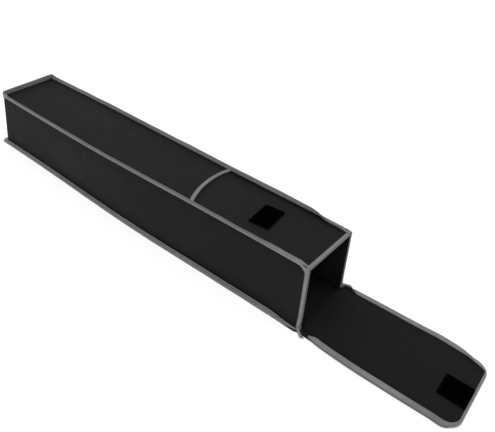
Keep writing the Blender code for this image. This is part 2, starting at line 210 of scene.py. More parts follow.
# Along the front, round the end and back along the rear, with a radius at each corner
def roundPath(startX, endX, half, front, spacing, cornerSteps=8, back=None):
    way = math.copysign(1, endX - startX)
    back = back or front
    frontX, backX = endX - way * front, endX - way * back
    longSteps = max(1, round(abs(frontX - startX) / spacing))
    endSteps = max(1, round((2 * half - front - back) / spacing))
    places = [(startX + (frontX - startX) * step / longSteps, -half, -90) for step in range(longSteps)]
    for turn in [-90 + 90 * step / cornerSteps for step in range(cornerSteps)]:
        angle = math.radians(turn)
        places.append((frontX + way * front * math.cos(angle), front - half + front * math.sin(angle), turn))
    endWide = 2 * half - front - back
    places += [(endX, front - half + endWide * step / endSteps, 0) for step in range(endSteps)]
    for turn in [90 * step / cornerSteps for step in range(cornerSteps)]:
        angle = math.radians(turn)
        places.append((backX + way * back * math.cos(angle), half - back + back * math.sin(angle), turn))
    longSteps = max(1, round(abs(backX - startX) / spacing))
    places += [(backX + (startX - backX) * step / longSteps, half, 90) for step in range(longSteps + 1)]
    frames = []
    for x, y, turn in places:
        out = (way * math.cos(math.radians(turn)), math.sin(math.radians(turn)), 0)
        frames.append(station((x, y, 0), out, (0, 0, 1)))
    return frames


def straightPath(start, end, out, up, spacing):
    start, end = Vector(start), Vector(end)
    count = max(1, round((end - start).length / spacing))
    return [station(start.lerp(end, step / count), out, up) for step in range(count + 1)]


# A smooth path through a few stations, each a point, the way out, the second axis and a share of the depth
def easyPath(stops, steps):
    rows = [Vector((*point, *out, *up, share)) for point, out, up, share in stops]
    frames = []
    for index in range(len(rows) - 1):
        before, here = rows[max(index - 1, 0)], rows[index]
        there, after = rows[index + 1], rows[min(index + 2, len(rows) - 1)]
        for step in range(steps + (index == len(rows) - 2)):
            t = step / steps
            row = 0.5 * (2 * here + (there - before) * t + (2 * before - 5 * here + 4 * there - after) * t * t
                         + (3 * here - before - 3 * there + after) * t * t * t)
            frames.append(station(row[0:3], row[3:6], row[6:9], row[9]))
    return frames


# A few vertices in the first frame, extruded from each frame to the next.
# Each vertex keeps its way along, its way across and its painted shade.
def drawAlong(profile, frames, closed=True):
    bm = bmesh.new()
    thread = bm.verts.layers.float_vector.new("thread")
    ring = []
    across = 0
    last = None
    for place in profile:
        here = Vector((place[0], place[1], 0))
        across += (here - last).length if last is not None else 0
        vert = bm.verts.new(frames[0] @ here)
        vert[thread] = (0, across, place[2] if len(place) > 2 else 0)
        ring.append(vert)
        last = here
    pairs = list(zip(ring, ring[1:]))
    if closed:
        pairs.append((ring[-1], ring[0]))
    edges = [bm.edges.new(pair) for pair in pairs]
    first = edges
    along = 0
    for here, there in zip(frames, frames[1:]):
        grown = bmesh.ops.extrude_edge_only(bm, edges=edges)["geom"]
        fresh = {item for item in grown if isinstance(item, bmesh.types.BMVert)}
        edges = [item for item in grown if isinstance(item, bmesh.types.BMEdge)
                 and item.verts[0] in fresh and item.verts[1] in fresh]
        bmesh.ops.transform(bm, matrix=there @ here.inverted(), verts=list(fresh))
        along += (there.translation - here.translation).length
        for vert in fresh:
            vert[thread] = (along, vert[thread].y, vert[thread].z)
    if closed:
        bmesh.ops.holes_fill(bm, edges=first + edges, sides=0)
    bmesh.ops.recalc_face_normals(bm, faces=bm.faces)
    return bm


panel = {"edge": 0.012, "roundSteps": 10, "foldCuts": 3, "foldStep": 0.0014}


# A flat panel with one end's corners rounded, cut into squares of about one step, and finer at its folds; its
# cloth gets a painted shade towards its sides
def cutPanel(lowX, highX, half, step, roundX=None, front=0, back=None, edge=panel["edge"], folds=()):
    bm = bmesh.new()
    corners = ((lowX, -half), (highX, -half), (highX, half), (lowX, half))
    ring = [bm.verts.new((x, y, 0)) for x, y in corners]
    bm.faces.new(ring)
    for side, radius in ((-1, front), (1, back or front)):
        if not radius:
            continue
        ring = [vert for vert in ring if vert.is_valid]
        tips = [vert for vert in ring if vert.co.y * side > 0 and abs(vert.co.x - roundX) < radius]
        bmesh.ops.bevel(bm, geom=tips, offset=radius, segments=panel["roundSteps"], profile=0.5,
                        affect="VERTICES", material=-1)
    for axis, low, high in ((Vector((1, 0, 0)), lowX, highX), (Vector((0, 1, 0)), -half, half)):
        count = max(1, round((high - low) / step))
        for cut in range(1, count):
            cutAcross(bm, axis, low + (high - low) * cut / count)
    for fold in folds:
        for cut in range(-panel["foldCuts"], panel["foldCuts"] + 1):
            cutAcross(bm, Vector((1, 0, 0)), fold + panel["foldStep"] * cut)
    markThread(bm, half, edge)
    return bm


def cutAcross(bm, axis, distance):
    geom = bm.verts[:] + bm.edges[:] + bm.faces[:]
    bmesh.ops.bisect_plane(bm, geom=geom, plane_co=axis * distance, plane_no=axis)


# The weave runs with the cloth, and a painted shade grows towards its edges
def markThread(bm, half=None, edge=panel["edge"]):
    thread = bm.verts.layers.float_vector.get("thread") or bm.verts.layers.float_vector.new("thread")
    for vert in bm.verts:
        paintedShade = smooth((abs(vert.co.y) - half + edge) / edge) if half else 0
        vert[thread] = (vert.co.x, vert.co.y, paintedShade)


def thicken(bm, thickness):
    bmesh.ops.recalc_face_normals(bm, faces=bm.faces)
    bmesh.ops.solidify(bm, geom=bm.faces[:], thickness=thickness)
    bmesh.ops.recalc_face_normals(bm, faces=bm.faces)


def roundEdges(bm, edges, radius, steps=2):
    bmesh.ops.bevel(bm, geom=edges, offset=radius, segments=steps, profile=0.5, affect="EDGES", material=-1)


def reshape(bm, *rules):
    for vert in bm.verts:
        for rule in rules:
            vert.co = rule(vert.co.copy())


stitch = {"pitch": 0.0042, "share": 0.74, "width": 0.0007, "height": 0.0005}
sharpAngle = math.radians(50)


# One stitch between each pair of stations, on the face that the local direction names
def sewRow(bm, frames, place, facing):
    points = [here @ Vector((*place, 0)) for here in frames]
    for here, start, end in zip(frames, points, points[1:]):
        ahead = (end - start).normalized()
        side = (here.to_3x3() @ Vector(facing)).cross(ahead).normalized()
        turn = Matrix((ahead, side, ahead.cross(side))).transposed().to_4x4()
        long = (end - start).length * stitch["share"] / 2
        size = Matrix.Diagonal((long, stitch["width"] / 2, stitch["height"] / 2, 1))
        middle = Matrix.Translation((start + end) / 2)
        bmesh.ops.create_icosphere(bm, subdivisions=1, radius=1, matrix=middle @ turn @ size)


# Makes the object with its material; it rides on a body unless it bends, and the frame's parts it stands for
# are hidden
def finishPiece(name, bm, material, replaced=(), rides="box", bends=None, flattens=None):
    if bm.verts.layers.float_vector.get("thread") is None:
        markThread(bm)
    mesh = bpy.data.meshes.new(name)
    bm.to_mesh(mesh)
    bm.free()
    mesh.shade_smooth()
    mesh.set_sharp_from_angle(angle=sharpAngle)
    mesh.materials.append(material)
    piece = bpy.data.objects.new(name, mesh)
    bpy.context.scene.collection.objects.link(piece)
    if bends:
        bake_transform(piece)
    else:
        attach(piece, rides)
    if flattens:
        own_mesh(piece)
    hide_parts(*replaced)
    return piece


# Small helpers for shader nodes
def addNode(tree, kind, inputs=None, **settings):
    node = tree.nodes.new("ShaderNode" + kind)
    for label, value in settings.items():
        setattr(node, label, value)
    for label, value in (inputs or {}).items():
        if isinstance(value, bpy.types.NodeSocket):
            tree.links.new(value, node.inputs[label])
        else:
            node.inputs[label].default_value = value
    return node


def calc(tree, operation, *values):
    return addNode(tree, "Math", dict(enumerate(values)), operation=operation).outputs[0]


def addNoise(tree, place, look):
    return addNode(tree, "TexNoise", {"Vector": place, **look}).outputs[0]


def remap(tree, value, low, high, newLow, newHigh):
    return addNode(tree, "MapRange", {0: value, 1: low, 2: high, 3: newLow, 4: newHigh}).outputs[0]


def startGroup(name, inputs, outputs):
    group = bpy.data.node_groups.new(name, "ShaderNodeTree")
    for label, kind, value in inputs:
        socket = group.interface.new_socket(name=label, in_out="INPUT", socket_type="NodeSocket" + kind)
        if value is not None:
            socket.default_value = value
    for label in outputs:
        group.interface.new_socket(name=label, in_out="OUTPUT", socket_type="NodeSocketFloat")
    return group, group.nodes.new("NodeGroupInput"), group.nodes.new("NodeGroupOutput")


# Plain weave: warp over weft, then weft over warp
def makeWeave():
    inputs = [("Thread", "Vector", None), ("Pitch", "Float", 0.0007)]
    tree, given, result = startGroup("plainWeave", inputs, ["Height", "GapShade"])
    finer = calc(tree, "DIVIDE", 1.0, given.outputs["Pitch"])
    scaled = addNode(tree, "VectorMath", {0: given.outputs["Thread"], "Scale": finer}, operation="SCALE")
    parts = addNode(tree, "SeparateXYZ", {0: scaled.outputs[0]}).outputs
    flat = addNode(tree, "CombineXYZ", {0: parts[0], 1: parts[1], 2: 0.5}).outputs[0]
    over = addNode(tree, "TexChecker", {"Vector": flat, "Scale": 1.0}).outputs["Fac"]
    warp = calc(tree, "ABSOLUTE", calc(tree, "SINE", calc(tree, "MULTIPLY", parts[0], math.pi)))
    weft = calc(tree, "ABSOLUTE", calc(tree, "SINE", calc(tree, "MULTIPLY", parts[1], math.pi)))
    high = addNode(tree, "Mix", {0: over, 2: warp, 3: weft}).outputs[0]
    tree.links.new(high, result.inputs["Height"])
    # The gaps between the threads, the mask for painted shade there
    tree.links.new(calc(tree, "SUBTRACT", 1.0, calc(tree, "MULTIPLY", warp, weft)), result.inputs["GapShade"])
    return tree


tapeWeave = {"yarnShare": 0.45, "yarnHeightShare": 0.25, "grooveSharp": 3.0}


# Ribs across a tape, or along it where the two ways are swapped
def makeRibs():
    inputs = [("Way", "Float", None), ("Other way", "Float", None), ("Pitch", "Float", 0.001)]
    tree, given, result = startGroup("tapeRibs", inputs, ["Height", "GrooveShade"])
    share = tapeWeave["yarnShare"]
    turns = calc(tree, "DIVIDE", given.outputs["Way"], given.outputs["Pitch"])
    wave = calc(tree, "ABSOLUTE", calc(tree, "SINE", calc(tree, "MULTIPLY", turns, math.pi)))
    finePitch = calc(tree, "MULTIPLY", given.outputs["Pitch"], share)
    yarns = calc(tree, "DIVIDE", given.outputs["Other way"], finePitch)
    yarn = calc(tree, "ABSOLUTE", calc(tree, "SINE", calc(tree, "MULTIPLY", yarns, math.pi)))
    height = calc(tree, "ADD", wave, calc(tree, "MULTIPLY", yarn, tapeWeave["yarnHeightShare"]))
    # The grooves between the ribs, the mask for painted shade there
    groove = calc(tree, "POWER", calc(tree, "SUBTRACT", 1.0, wave), tapeWeave["grooveSharp"])
    tree.links.new(height, result.inputs["Height"])
    tree.links.new(groove, result.inputs["GrooveShade"])
    return tree


# Settings of the noise textures, and where each noise counts as faded or as a hair
use = {
    "broad": {"Scale": 6.0, "Detail": 3.0, "Roughness": 0.6},
    "patchy": {"Scale": 50.0, "Detail": 6.0, "Roughness": 0.85},
    "hair": {"Scale": 420.0, "Detail": 1.0, "Distortion": 1.5}, "hairStretch": (1.0, 3.5, 2.0),
    "fuzz": {"Scale": 1400.0, "Detail": 2.0},
    "broadShare": 0.5, "patchyShare": 0.5, "fadeFrom": 0.36, "fadeTo": 0.64, "hairFrom": 0.72, "hairTo": 0.80,
}


# Uneven dye, hairs of lint, and a soft fuzz
def makeUse():
    inputs = [("Place", "Vector", None), ("Lint", "Float", 0.5)]
    tree, given, result = startGroup("fadeAndLint", inputs, ["Fade", "Lint", "Fuzz"])
    place = given.outputs["Place"]
    broad = addNoise(tree, place, use["broad"])
    patchy = addNoise(tree, place, use["patchy"])
    fade = calc(tree, "ADD", calc(tree, "MULTIPLY", broad, use["broadShare"]),
                calc(tree, "MULTIPLY", patchy, use["patchyShare"]))
    tree.links.new(remap(tree, fade, use["fadeFrom"], use["fadeTo"], 0.0, 1.0), result.inputs["Fade"])
    long = addNode(tree, "VectorMath", {0: place, 1: use["hairStretch"]}, operation="MULTIPLY").outputs[0]
    hair = addNoise(tree, long, use["hair"])
    spots = remap(tree, hair, use["hairFrom"], use["hairTo"], 0.0, 1.0)
    tree.links.new(calc(tree, "MULTIPLY", spots, given.outputs["Lint"]), result.inputs["Lint"])
    tree.links.new(addNoise(tree, place, use["fuzz"]), result.inputs["Fuzz"])
    return tree


weaveGroup = makeWeave()
ribGroup = makeRibs()
useGroup = makeUse()


def placeGroup(tree, group, inputs):
    node = tree.nodes.new("ShaderNodeGroup")
    node.node_tree = group
    for label, value in inputs.items():
        if isinstance(value, bpy.types.NodeSocket):
            tree.links.new(value, node.inputs[label])
        else:
            node.inputs[label].default_value = value
    return node


def startMaterial(name, roughness, specular, sheen=0.0):
    material = bpy.data.materials.new(name)
    material.use_nodes = True
    tree = material.node_tree
    shader = tree.nodes["Principled BSDF"]
    shader.inputs["Roughness"].default_value = roughness
    shader.inputs["Specular IOR Level"].default_value = specular
    shader.inputs["Sheen Weight"].default_value = sheen
    place = addNode(tree, "TexCoord").outputs["Object"]
    thread = addNode(tree, "Attribute", attribute_type="GEOMETRY", attribute_name="thread").outputs["Vector"]
    return material, tree, shader, place, thread


def mixColour(tree, factor, low, high):
    node = addNode(tree, "Mix", data_type="RGBA")
    for socket, value in ((node.inputs[0], factor), (node.inputs[6], low), (node.inputs[7], high)):
        if isinstance(value, bpy.types.NodeSocket):
            tree.links.new(value, socket)
        elif isinstance(value, tuple):
            socket.default_value = (*value, 1)
        else:
            socket.default_value = value
    return node.outputs[2]


def addRelief(tree, shader, height, distance, strength):
    bump = addNode(tree, "Bump", {"Height": height, "Distance": distance, "Strength": strength})
    tree.links.new(bump.outputs[0], shader.inputs["Normal"])


# Woven polyester, near black, with painted shade between the threads and in the crease beside each seam
def makeCloth(name, look):
    values = [look[key] for key in ("roughness", "specular", "sheen")]
    material, tree, shader, place, thread = startMaterial(name, *values)
    weave = placeGroup(tree, weaveGroup, {"Thread": thread, "Pitch": look["pitch"]}).outputs
    worn = placeGroup(tree, useGroup, {"Place": place, "Lint": look["lint"]}).outputs
    paintedShade = addNode(tree, "SeparateXYZ", {0: thread}).outputs[2]
    toned = mixColour(tree, worn["Fade"], look["dark"], look["light"])
    # Painted shade between the threads
    gapShaded = mixColour(tree, calc(tree, "MULTIPLY", weave["GapShade"], look["gapShadeShare"]), toned, look["gapShadeColour"])
    # Painted shade in the crease beside each seam, as strong as the thread's third value
    creaseShaded = mixColour(tree, calc(tree, "MULTIPLY", paintedShade, look["crease"]), gapShaded, look["deep"])
    tree.links.new(mixColour(tree, worn["Lint"], creaseShaded, look["hair"]), shader.inputs["Base Color"])
    smoother, rougher = look["roughness"] - look["uneven"], look["roughness"] + look["uneven"]
    rough = remap(tree, worn["Fade"], look["fadeLow"], look["fadeHigh"], smoother, rougher)
    tree.links.new(rough, shader.inputs["Roughness"])
    height = calc(tree, "ADD", weave["Height"], calc(tree, "MULTIPLY", worn["Fuzz"], look["fuzz"]))
    addRelief(tree, shader, height, look["relief"], look["strength"])
    return material


# Grosgrain tape: fine ribs across it, painted shade on its folded edge and in the grooves between ribs, and a
# little soil
def makeTape(name, look):
    values = [look[key] for key in ("roughness", "specular", "sheen")]
    material, tree, shader, place, thread = startMaterial(name, *values)
    parts = addNode(tree, "SeparateXYZ", {0: thread}).outputs
    ribs = placeGroup(tree, ribGroup, {"Way": parts[look["way"]], "Other way": parts[1 - look["way"]],
                                       "Pitch": look["pitch"]}).outputs
    worn = placeGroup(tree, useGroup, {"Place": place, "Lint": look["lint"]}).outputs
    toned = mixColour(tree, worn["Fade"], look["dark"], look["light"])
    # Painted shade on the tape's folded edge, as strong as the thread's third value
    foldShaded = mixColour(tree, parts[2], toned, look["fold"])
    # Painted shade in the grooves between the ribs
    grooveShadeShare = calc(tree, "MULTIPLY", ribs["GrooveShade"], look["grooveShadeShare"])
    grooveShaded = mixColour(tree, grooveShadeShare, foldShaded, look["groove"])
    tree.links.new(mixColour(tree, worn["Lint"], grooveShaded, look["hair"]), shader.inputs["Base Color"])
    smoother, rougher = look["roughness"] - look["uneven"], look["roughness"] + look["uneven"]
    rough = remap(tree, ribs["Height"], 0.0, look["ribTop"], rougher, smoother)
    tree.links.new(rough, shader.inputs["Roughness"])
    height = calc(tree, "ADD", ribs["Height"], calc(tree, "MULTIPLY", worn["Fuzz"], look["fuzz"]))
    addRelief(tree, shader, height, look["relief"], look["strength"])
    return material


# A dense pile of tiny loops, lighter on their tops with painted shade between them
def makePile(name, look):
    material, tree, shader, place = startMaterial(name, look["roughness"], look["specular"])[:4]
    loops = addNode(tree, "TexVoronoi", {"Vector": place, "Scale": look["scale"]},
                    distance="EUCLIDEAN").outputs[0]
    worn = placeGroup(tree, useGroup, {"Place": place, "Lint": look["lint"]}).outputs
    # Painted shade: darker between the loops, lighter on their tops
    toned = mixColour(tree, loops, look["light"], look["dark"])
    tree.links.new(mixColour(tree, worn["Lint"], toned, look["hair"]), shader.inputs["Base Color"])
    rough = remap(tree, worn["Fade"], look["fadeLow"], look["fadeHigh"], look["smoothest"], look["roughest"])
    tree.links.new(rough, shader.inputs["Roughness"])
    height = calc(tree, "ADD", calc(tree, "SUBTRACT", 1.0, loops), worn["Fuzz"])
    addRelief(tree, shader, height, look["relief"], look["strength"])
    return material


# Grey board of pressed fibres
def makeBoard(name, look):
    material, tree, shader, place = startMaterial(name, look["roughness"], look["specular"])[:4]
    long = addNode(tree, "VectorMath", {0: place, 1: look["stretch"]}, operation="MULTIPLY").outputs[0]
    fibres = addNoise(tree, long, look["fibres"])
    broad = addNoise(tree, place, look["broad"])
    mottle = calc(tree, "ADD", calc(tree, "MULTIPLY", fibres, look["fibreShare"]),
                  calc(tree, "MULTIPLY", broad, 1 - look["fibreShare"]))
    tree.links.new(mixColour(tree, mottle, look["dark"], look["light"]), shader.inputs["Base Color"])
    rough = remap(tree, fibres, look["fadeLow"], look["fadeHigh"], look["smoothest"], look["roughest"])
    tree.links.new(rough, shader.inputs["Roughness"])
    addRelief(tree, shader, fibres, look["relief"], look["strength"])
    return material


# Sewing thread
def makeThread(name, look):
    material, tree, shader, place = startMaterial(name, look["roughness"], look["specular"])[:4]
    twist = addNoise(tree, place, look["twist"])
    tree.links.new(mixColour(tree, twist, look["dark"], look["light"]), shader.inputs["Base Color"])
    addRelief(tree, shader, twist, look["relief"], look["strength"])
    return material


# In both cloths the two darkest colours are painted shade: between the threads, and in the crease beside each
# seam
clothLook = {
    "dark": (0.0052, 0.0052, 0.0054), "light": (0.0142, 0.0142, 0.0145), "gapShadeColour": (0.004, 0.004, 0.004),
    "gapShadeShare": 0.5, "deep": (0.0015, 0.0015, 0.0015), "crease": 0.9, "hair": (0.10, 0.10, 0.10), "lint": 0.35,
    "pitch": 0.00075, "relief": 0.00014, "strength": 0.8, "fuzz": 0.4, "roughness": 0.72, "uneven": 0.08,
    "fadeLow": 0.3, "fadeHigh": 0.7, "specular": 0.08, "sheen": 0.010,
}
outerCloth = makeCloth("outerCloth", clothLook)
innerCloth = makeCloth("innerCloth", {
    **clothLook, "light": (0.0112, 0.0112, 0.0115), "gapShadeColour": (0.003, 0.003, 0.003), "gapShadeShare": 0.4,
    "deep": (0.001, 0.001, 0.001), "hair": (0.08, 0.08, 0.08), "pitch": 0.0005, "relief": 0.00008,
    "roughness": 0.76, "sheen": 0.012,
})
# The fold and groove colours are painted shade: on the folded edge and between the ribs
tapeLook = {
    "dark": (0.138, 0.138, 0.140), "light": (0.222, 0.222, 0.224), "fold": (0.105, 0.105, 0.107),
    "groove": (0.080, 0.080, 0.082), "grooveShadeShare": 0.45, "hair": (0.35, 0.35, 0.35), "lint": 0.3,
    "pitch": 0.0011, "way": 0, "ribTop": 1.2, "relief": 0.00015, "strength": 0.8, "fuzz": 0.3,
    "roughness": 0.8, "uneven": 0.08, "specular": 0.2, "sheen": 0.05,
}
bindingTape = makeTape("bindingTape", tapeLook)
# The foot's seam tape is the binding tape painted lighter: painted light that makes up for the shade near the
# floor
footTapePaintedLighter = makeTape("footTapePaintedLighter", {
    **tapeLook, "dark": (0.180, 0.180, 0.182), "light": (0.280, 0.280, 0.283), "fold": (0.130, 0.130, 0.132),
})
handleWebbing = makeTape("handleWebbing", {
    **tapeLook, "dark": (0.045, 0.045, 0.046), "light": (0.078, 0.078, 0.080), "fold": (0.040, 0.040, 0.041),
    "groove": (0.018, 0.018, 0.018), "pitch": 0.0016, "way": 1, "relief": 0.0003, "roughness": 0.7,
})
pilePatch = makePile("pilePatch", {
    "dark": (0.0002, 0.0002, 0.0002), "light": (0.0010, 0.0010, 0.0010), "hair": (0.01, 0.01, 0.01),
    "lint": 0.2, "scale": 1500.0, "relief": 0.0003, "strength": 1.0, "roughness": 0.95, "fadeLow": 0.2,
    "fadeHigh": 0.8, "smoothest": 0.86, "roughest": 1.0, "specular": 0.0,
})
stiffBoard = makeBoard("stiffBoard", {
    "dark": (0.20, 0.185, 0.16), "light": (0.36, 0.34, 0.30), "relief": 0.0001, "strength": 0.6,
    "stretch": (1.0, 5.0, 1.0), "fibres": {"Scale": 300.0, "Detail": 4.0, "Roughness": 0.7},
    "fibreShare": 0.7, "broad": {"Scale": 12.0, "Detail": 2.0}, "roughness": 0.9, "fadeLow": 0.2,
    "fadeHigh": 0.8, "smoothest": 0.8, "roughest": 0.98, "specular": 0.3,
})
threadLook = {
    "dark": (0.085, 0.085, 0.087), "light": (0.15, 0.15, 0.152), "twist": {"Scale": 900.0, "Detail": 2.0},
    "relief": 0.0001, "strength": 0.7, "roughness": 0.6, "specular": 0.2,
}
seamThread = makeThread("seamThread", threadLook)
darkThread = makeThread("darkThread", {
    **threadLook, "dark": (0.006, 0.006, 0.006), "light": (0.014, 0.014, 0.014),
})
print("materials made")

# Outer cloth and lining of the three upright walls. Slack is a slow and a fast ripple, and the cloth
# puckers beside both seams.
walls = {
    "step": 0.006, "rows": 26, "low": 0.0034, "high": 0.0004, "seed": 3.0, "sag": 0.0016, "sagBase": 0.35,
    "slow": 9, "fast": 31, "fastShare": 0.4, "sagFrom": 0.004, "sagEdge": 0.03, "pucker": 0.0005,
    "puckerFoot": 0.022, "puckerTop": 0.016, "puckerFade": 0.007, "puckerScale": 75,
    "puckerStretchShare": 0.2, "footClear": 0.003, "topClear": 0.001, "cornerFade": 0.006,
    "creaseWide": 0.012, "creaseWideShare": 0.4, "creaseNarrow": 0.003, "creaseTop": 0.0008,
    "liningIn": 0.0035, "liningLow": 0.0050, "liningDrop": 0.0045, "liningStep": 0.01,
}


def makeWalls():
    high = body["pivot"] + walls["high"]
    rows = walls["rows"]
    wideShare = walls["creaseWideShare"]
    profile = []
    for row in range(rows + 1):
        z = walls["low"] + (high - walls["low"]) * row / rows
        # Painted shade: darker towards the foot and top seams, fading away from them
        near = max(0, min(z - footTop, topZ - walls["creaseTop"] - z))
        paintedShade = wideShare * math.exp(-near / walls["creaseWide"])
        paintedShade += (1 - wideShare) * math.exp(-near / walls["creaseNarrow"])
        profile.append((cloth / 2, z, paintedShade))
    path = roundPath(wallEnd, farWall, body["root"], body["corner"], walls["step"])
    bm = drawAlong(profile, path, closed=False)

    def sag(co):
        seed = walls["seed"]
        edge = smooth((co.z - walls["sagFrom"]) / walls["sagEdge"]) * smooth((topZ - co.z) / walls["sagEdge"])
        fast = walls["fastShare"] * ripple(co, walls["fast"], seed)
        slack = walls["sagBase"] + ripple(co, walls["slow"], seed) + fast
        push = walls["sag"] * edge * max(0, slack)
        near = math.exp(-co.z / walls["puckerFoot"]) + math.exp((co.z - topZ) / walls["puckerTop"])
        near *= smooth(min(co.z - walls["footClear"], topZ - walls["topClear"] - co.z) / walls["puckerFade"])
        drawn = Vector((co.x, co.y, walls["puckerStretchShare"] * co.z))
        push += walls["pucker"] * near * abs(ripple(drawn, walls["puckerScale"], seed))
        side = smooth((abs(co.y) - body["root"] + walls["cornerFade"]) / walls["cornerFade"])
        return Vector((co.x - push * (1 - side), co.y + math.copysign(push * side, co.y), co.z))

    thicken(bm, cloth)
    reshape(bm, sag, trimEnd, swell)
    finishPiece("wallCloth", bm, outerCloth, ["side_wall_wrap"])
    profile = [(-walls["liningIn"], walls["liningLow"]), (-walls["liningIn"], topZ - walls["liningDrop"])]
    path = roundPath(wallEnd, farWall, body["root"], body["corner"], walls["liningStep"])
    bm = drawAlong(profile, path, closed=False)
    thicken(bm, liningCloth)
    reshape(bm, rack)
    finishPiece("wallLining", bm, innerCloth, ["side_lining"])
    print("walls made")


# Cloth and lining of the top, taut round the loop patch
top = {
    "step": 0.006, "in": 0.0003, "seed": 11.0, "sag": 0.0009, "sagBase": 0.45, "slow": 10, "fast": 33,
    "fastShare": 0.3, "sideFade": 0.02, "mouthIn": 0.014, "mouthFade": 0.03, "patchX": 0.026, "patchY": 0.038,
    "patchClear": 0.030, "liningStep": 0.01, "liningEnd": 0.003, "liningSide": 0.0032,
}


def makeTop():
    half = body["root"] - top["in"]
    start = farWall + top["in"]
    patchLow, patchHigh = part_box("loop_patch")
    patch = (patchLow + patchHigh) / 2
    bm = cutPanel(start, wallEnd, half, top["step"], start, body["corner"])
    thicken(bm, cloth)
    bmesh.ops.translate(bm, vec=(0, 0, topZ - cloth / 2), verts=bm.verts)

    def sag(co):
        free = smooth((half - abs(co.y)) / top["sideFade"])
        free *= smooth((wallEnd - top["mouthIn"] - co.x) / top["mouthFade"])
        beside = max(abs(co.x - patch.x) - top["patchX"], abs(co.y - patch.y) - top["patchY"])
        free *= smooth(beside / top["patchClear"])
        slack = ripple(co, top["slow"], top["seed"]) + top["sagBase"]
        slack += top["fastShare"] * ripple(co, top["fast"], top["seed"])
        return co + Vector((0, 0, free * top["sag"] * max(0, slack)))

    reshape(bm, sag, swell)
    finishPiece("topCloth", bm, outerCloth, ["top_panel"])
    bm = cutPanel(farWall + top["liningEnd"], wallEnd, body["root"] - top["liningSide"], top["liningStep"])
    thicken(bm, liningCloth)
    bmesh.ops.translate(bm, vec=(0, 0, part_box("top_lining")[0].z + liningCloth / 2), verts=bm.verts)
    reshape(bm, rack)
    finishPiece("topLining", bm, innerCloth, ["top_lining"])
    print("top made")


# The pocket's mouth runs in a shallow bow, nearer the lid at the front; its tape has ten points round it
pocket = {
    "x": 0.213, "slant": 0.014, "bow": 0.015, "shapeLength": 0.08, "seed": 11.0, "sag": 0.0015,
    "sagBase": 0.5, "slow": 8, "fast": 26, "fastShare": 0.35, "sideFade": 0.022, "endFade": 0.03,
    "tapeBack": 0.0080, "tapeFront": 0.0011, "tapeEdge": 0.0003, "tapeCurve": 0.0014, "tapeTop": 0.0030,
    "sewnIn": 0.0064, "tapeLow": 0.0056, "tapeSoft": 0.0074, "tapeEnd": 0.0082, "proud": 0.0004,
    "lift": 0.0008, "liftFade": 0.02, "slopeStep": 0.001,
}


def pocketEdge(y):
    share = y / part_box("pocket_panel")[1].y
    return pocket["x"] - pocket["slant"] * share - pocket["bow"] * (1 - share * share)


def makePocket():
    low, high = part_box("pocket_panel")
    half = high.y
    bm = cutPanel(low.x, pocket["x"], half, top["step"], low.x, body["corner"] / 2)

    def shapeMouth(co):
        share = smooth((co.x - pocket["x"] + pocket["shapeLength"]) / pocket["shapeLength"])
        return Vector((co.x + share * (pocketEdge(co.y) - pocket["x"]), co.y, co.z))

    def sag(co):
        edge = smooth((half - abs(co.y)) / pocket["sideFade"]) * smooth((co.x - low.x) / pocket["endFade"])
        slack = ripple(co, pocket["slow"], pocket["seed"]) + pocket["sagBase"]
        slack += pocket["fastShare"] * ripple(co, pocket["fast"], pocket["seed"])
        return co + Vector((0, 0, edge * pocket["sag"] * max(0, slack)))

    reshape(bm, shapeMouth)
    # Painted shade towards the pocket's sides
    markThread(bm, half)
    thicken(bm, cloth)
    bmesh.ops.translate(bm, vec=(0, 0, low.z + cloth / 2), verts=bm.verts)
    reshape(bm, sag, swell)
    finishPiece("pocketCloth", bm, outerCloth, ["pocket_panel"])

    low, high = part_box("pocket_mouth_binding")
    middle = (low.z + high.z) / 2
    rise = (high.z - low.z) / 2
    front, proud = pocket["tapeFront"], pocket["proud"]
    # The third value of a point is the tape's painted shade
    profile = [
        (-pocket["tapeBack"], -rise), (pocket["tapeEdge"], -rise), (front, -0.4 * rise, 1),
        (front, 0.4 * rise, 1), (pocket["tapeEdge"], rise, 0.5), (-pocket["tapeCurve"], rise + proud / 2),
        (-pocket["tapeTop"], rise + proud), (-pocket["tapeLow"], rise + proud),
        (-pocket["tapeSoft"], rise + proud / 2), (-pocket["tapeEnd"], 0.6 * rise, 0.6),
    ]
    path = []
    count = round(2 * high.y / stitch["pitch"])
    for step in range(count + 1):
        y = -high.y + 2 * high.y * step / count
        beside = pocket["slopeStep"]
        slope = (pocketEdge(y + beside) - pocketEdge(y - beside)) / (2 * beside)
        lift = pocket["lift"] * smooth((high.y - abs(y)) / pocket["liftFade"])
        path.append(station((pocketEdge(y), y, middle + lift), (1, -slope, 0), (0, 0, 1)))
    bm = drawAlong(profile, path)
    reshape(bm, swell)
    finishPiece("pocketBinding", bm, bindingTape, ["pocket_mouth_binding"])
    bm = bmesh.new()
    sewRow(bm, path, (-pocket["sewnIn"], rise + proud), (0, 1, 0))
    reshape(bm, swell)
    finishPiece("pocketStitches", bm, seamThread)
    print("pocket made")


# Tapes of the two long seams: each row of stitches lies in a groove
bands = {
    "step": 0.005, "round": 0.0009, "groove": 0.0004, "inner": -0.0022, "rootIn": 0.0009,
    "rootDrop": 0.0008, "rootRise": 0.0022, "innerRise": 0.0024, "sewn": 0.1529, "below": 0.0007,
    "above": 0.0008, "stitchCornerSteps": 3, "footIn": 0.0010, "footSewn": 0.0042, "footSewnHalf": 0.0008,
    "stitchShort": 0.015, "tuckShare": 0.75, "tuckIn": 0.040, "tuckLength": 0.034, "tuckFrom": 0.001,
}
underTongue = {"joint": "tongue_fold", "axis": (0, 0, 1), "anchor": (0, 0, topZ - 0.0006), "keep": 0.28}
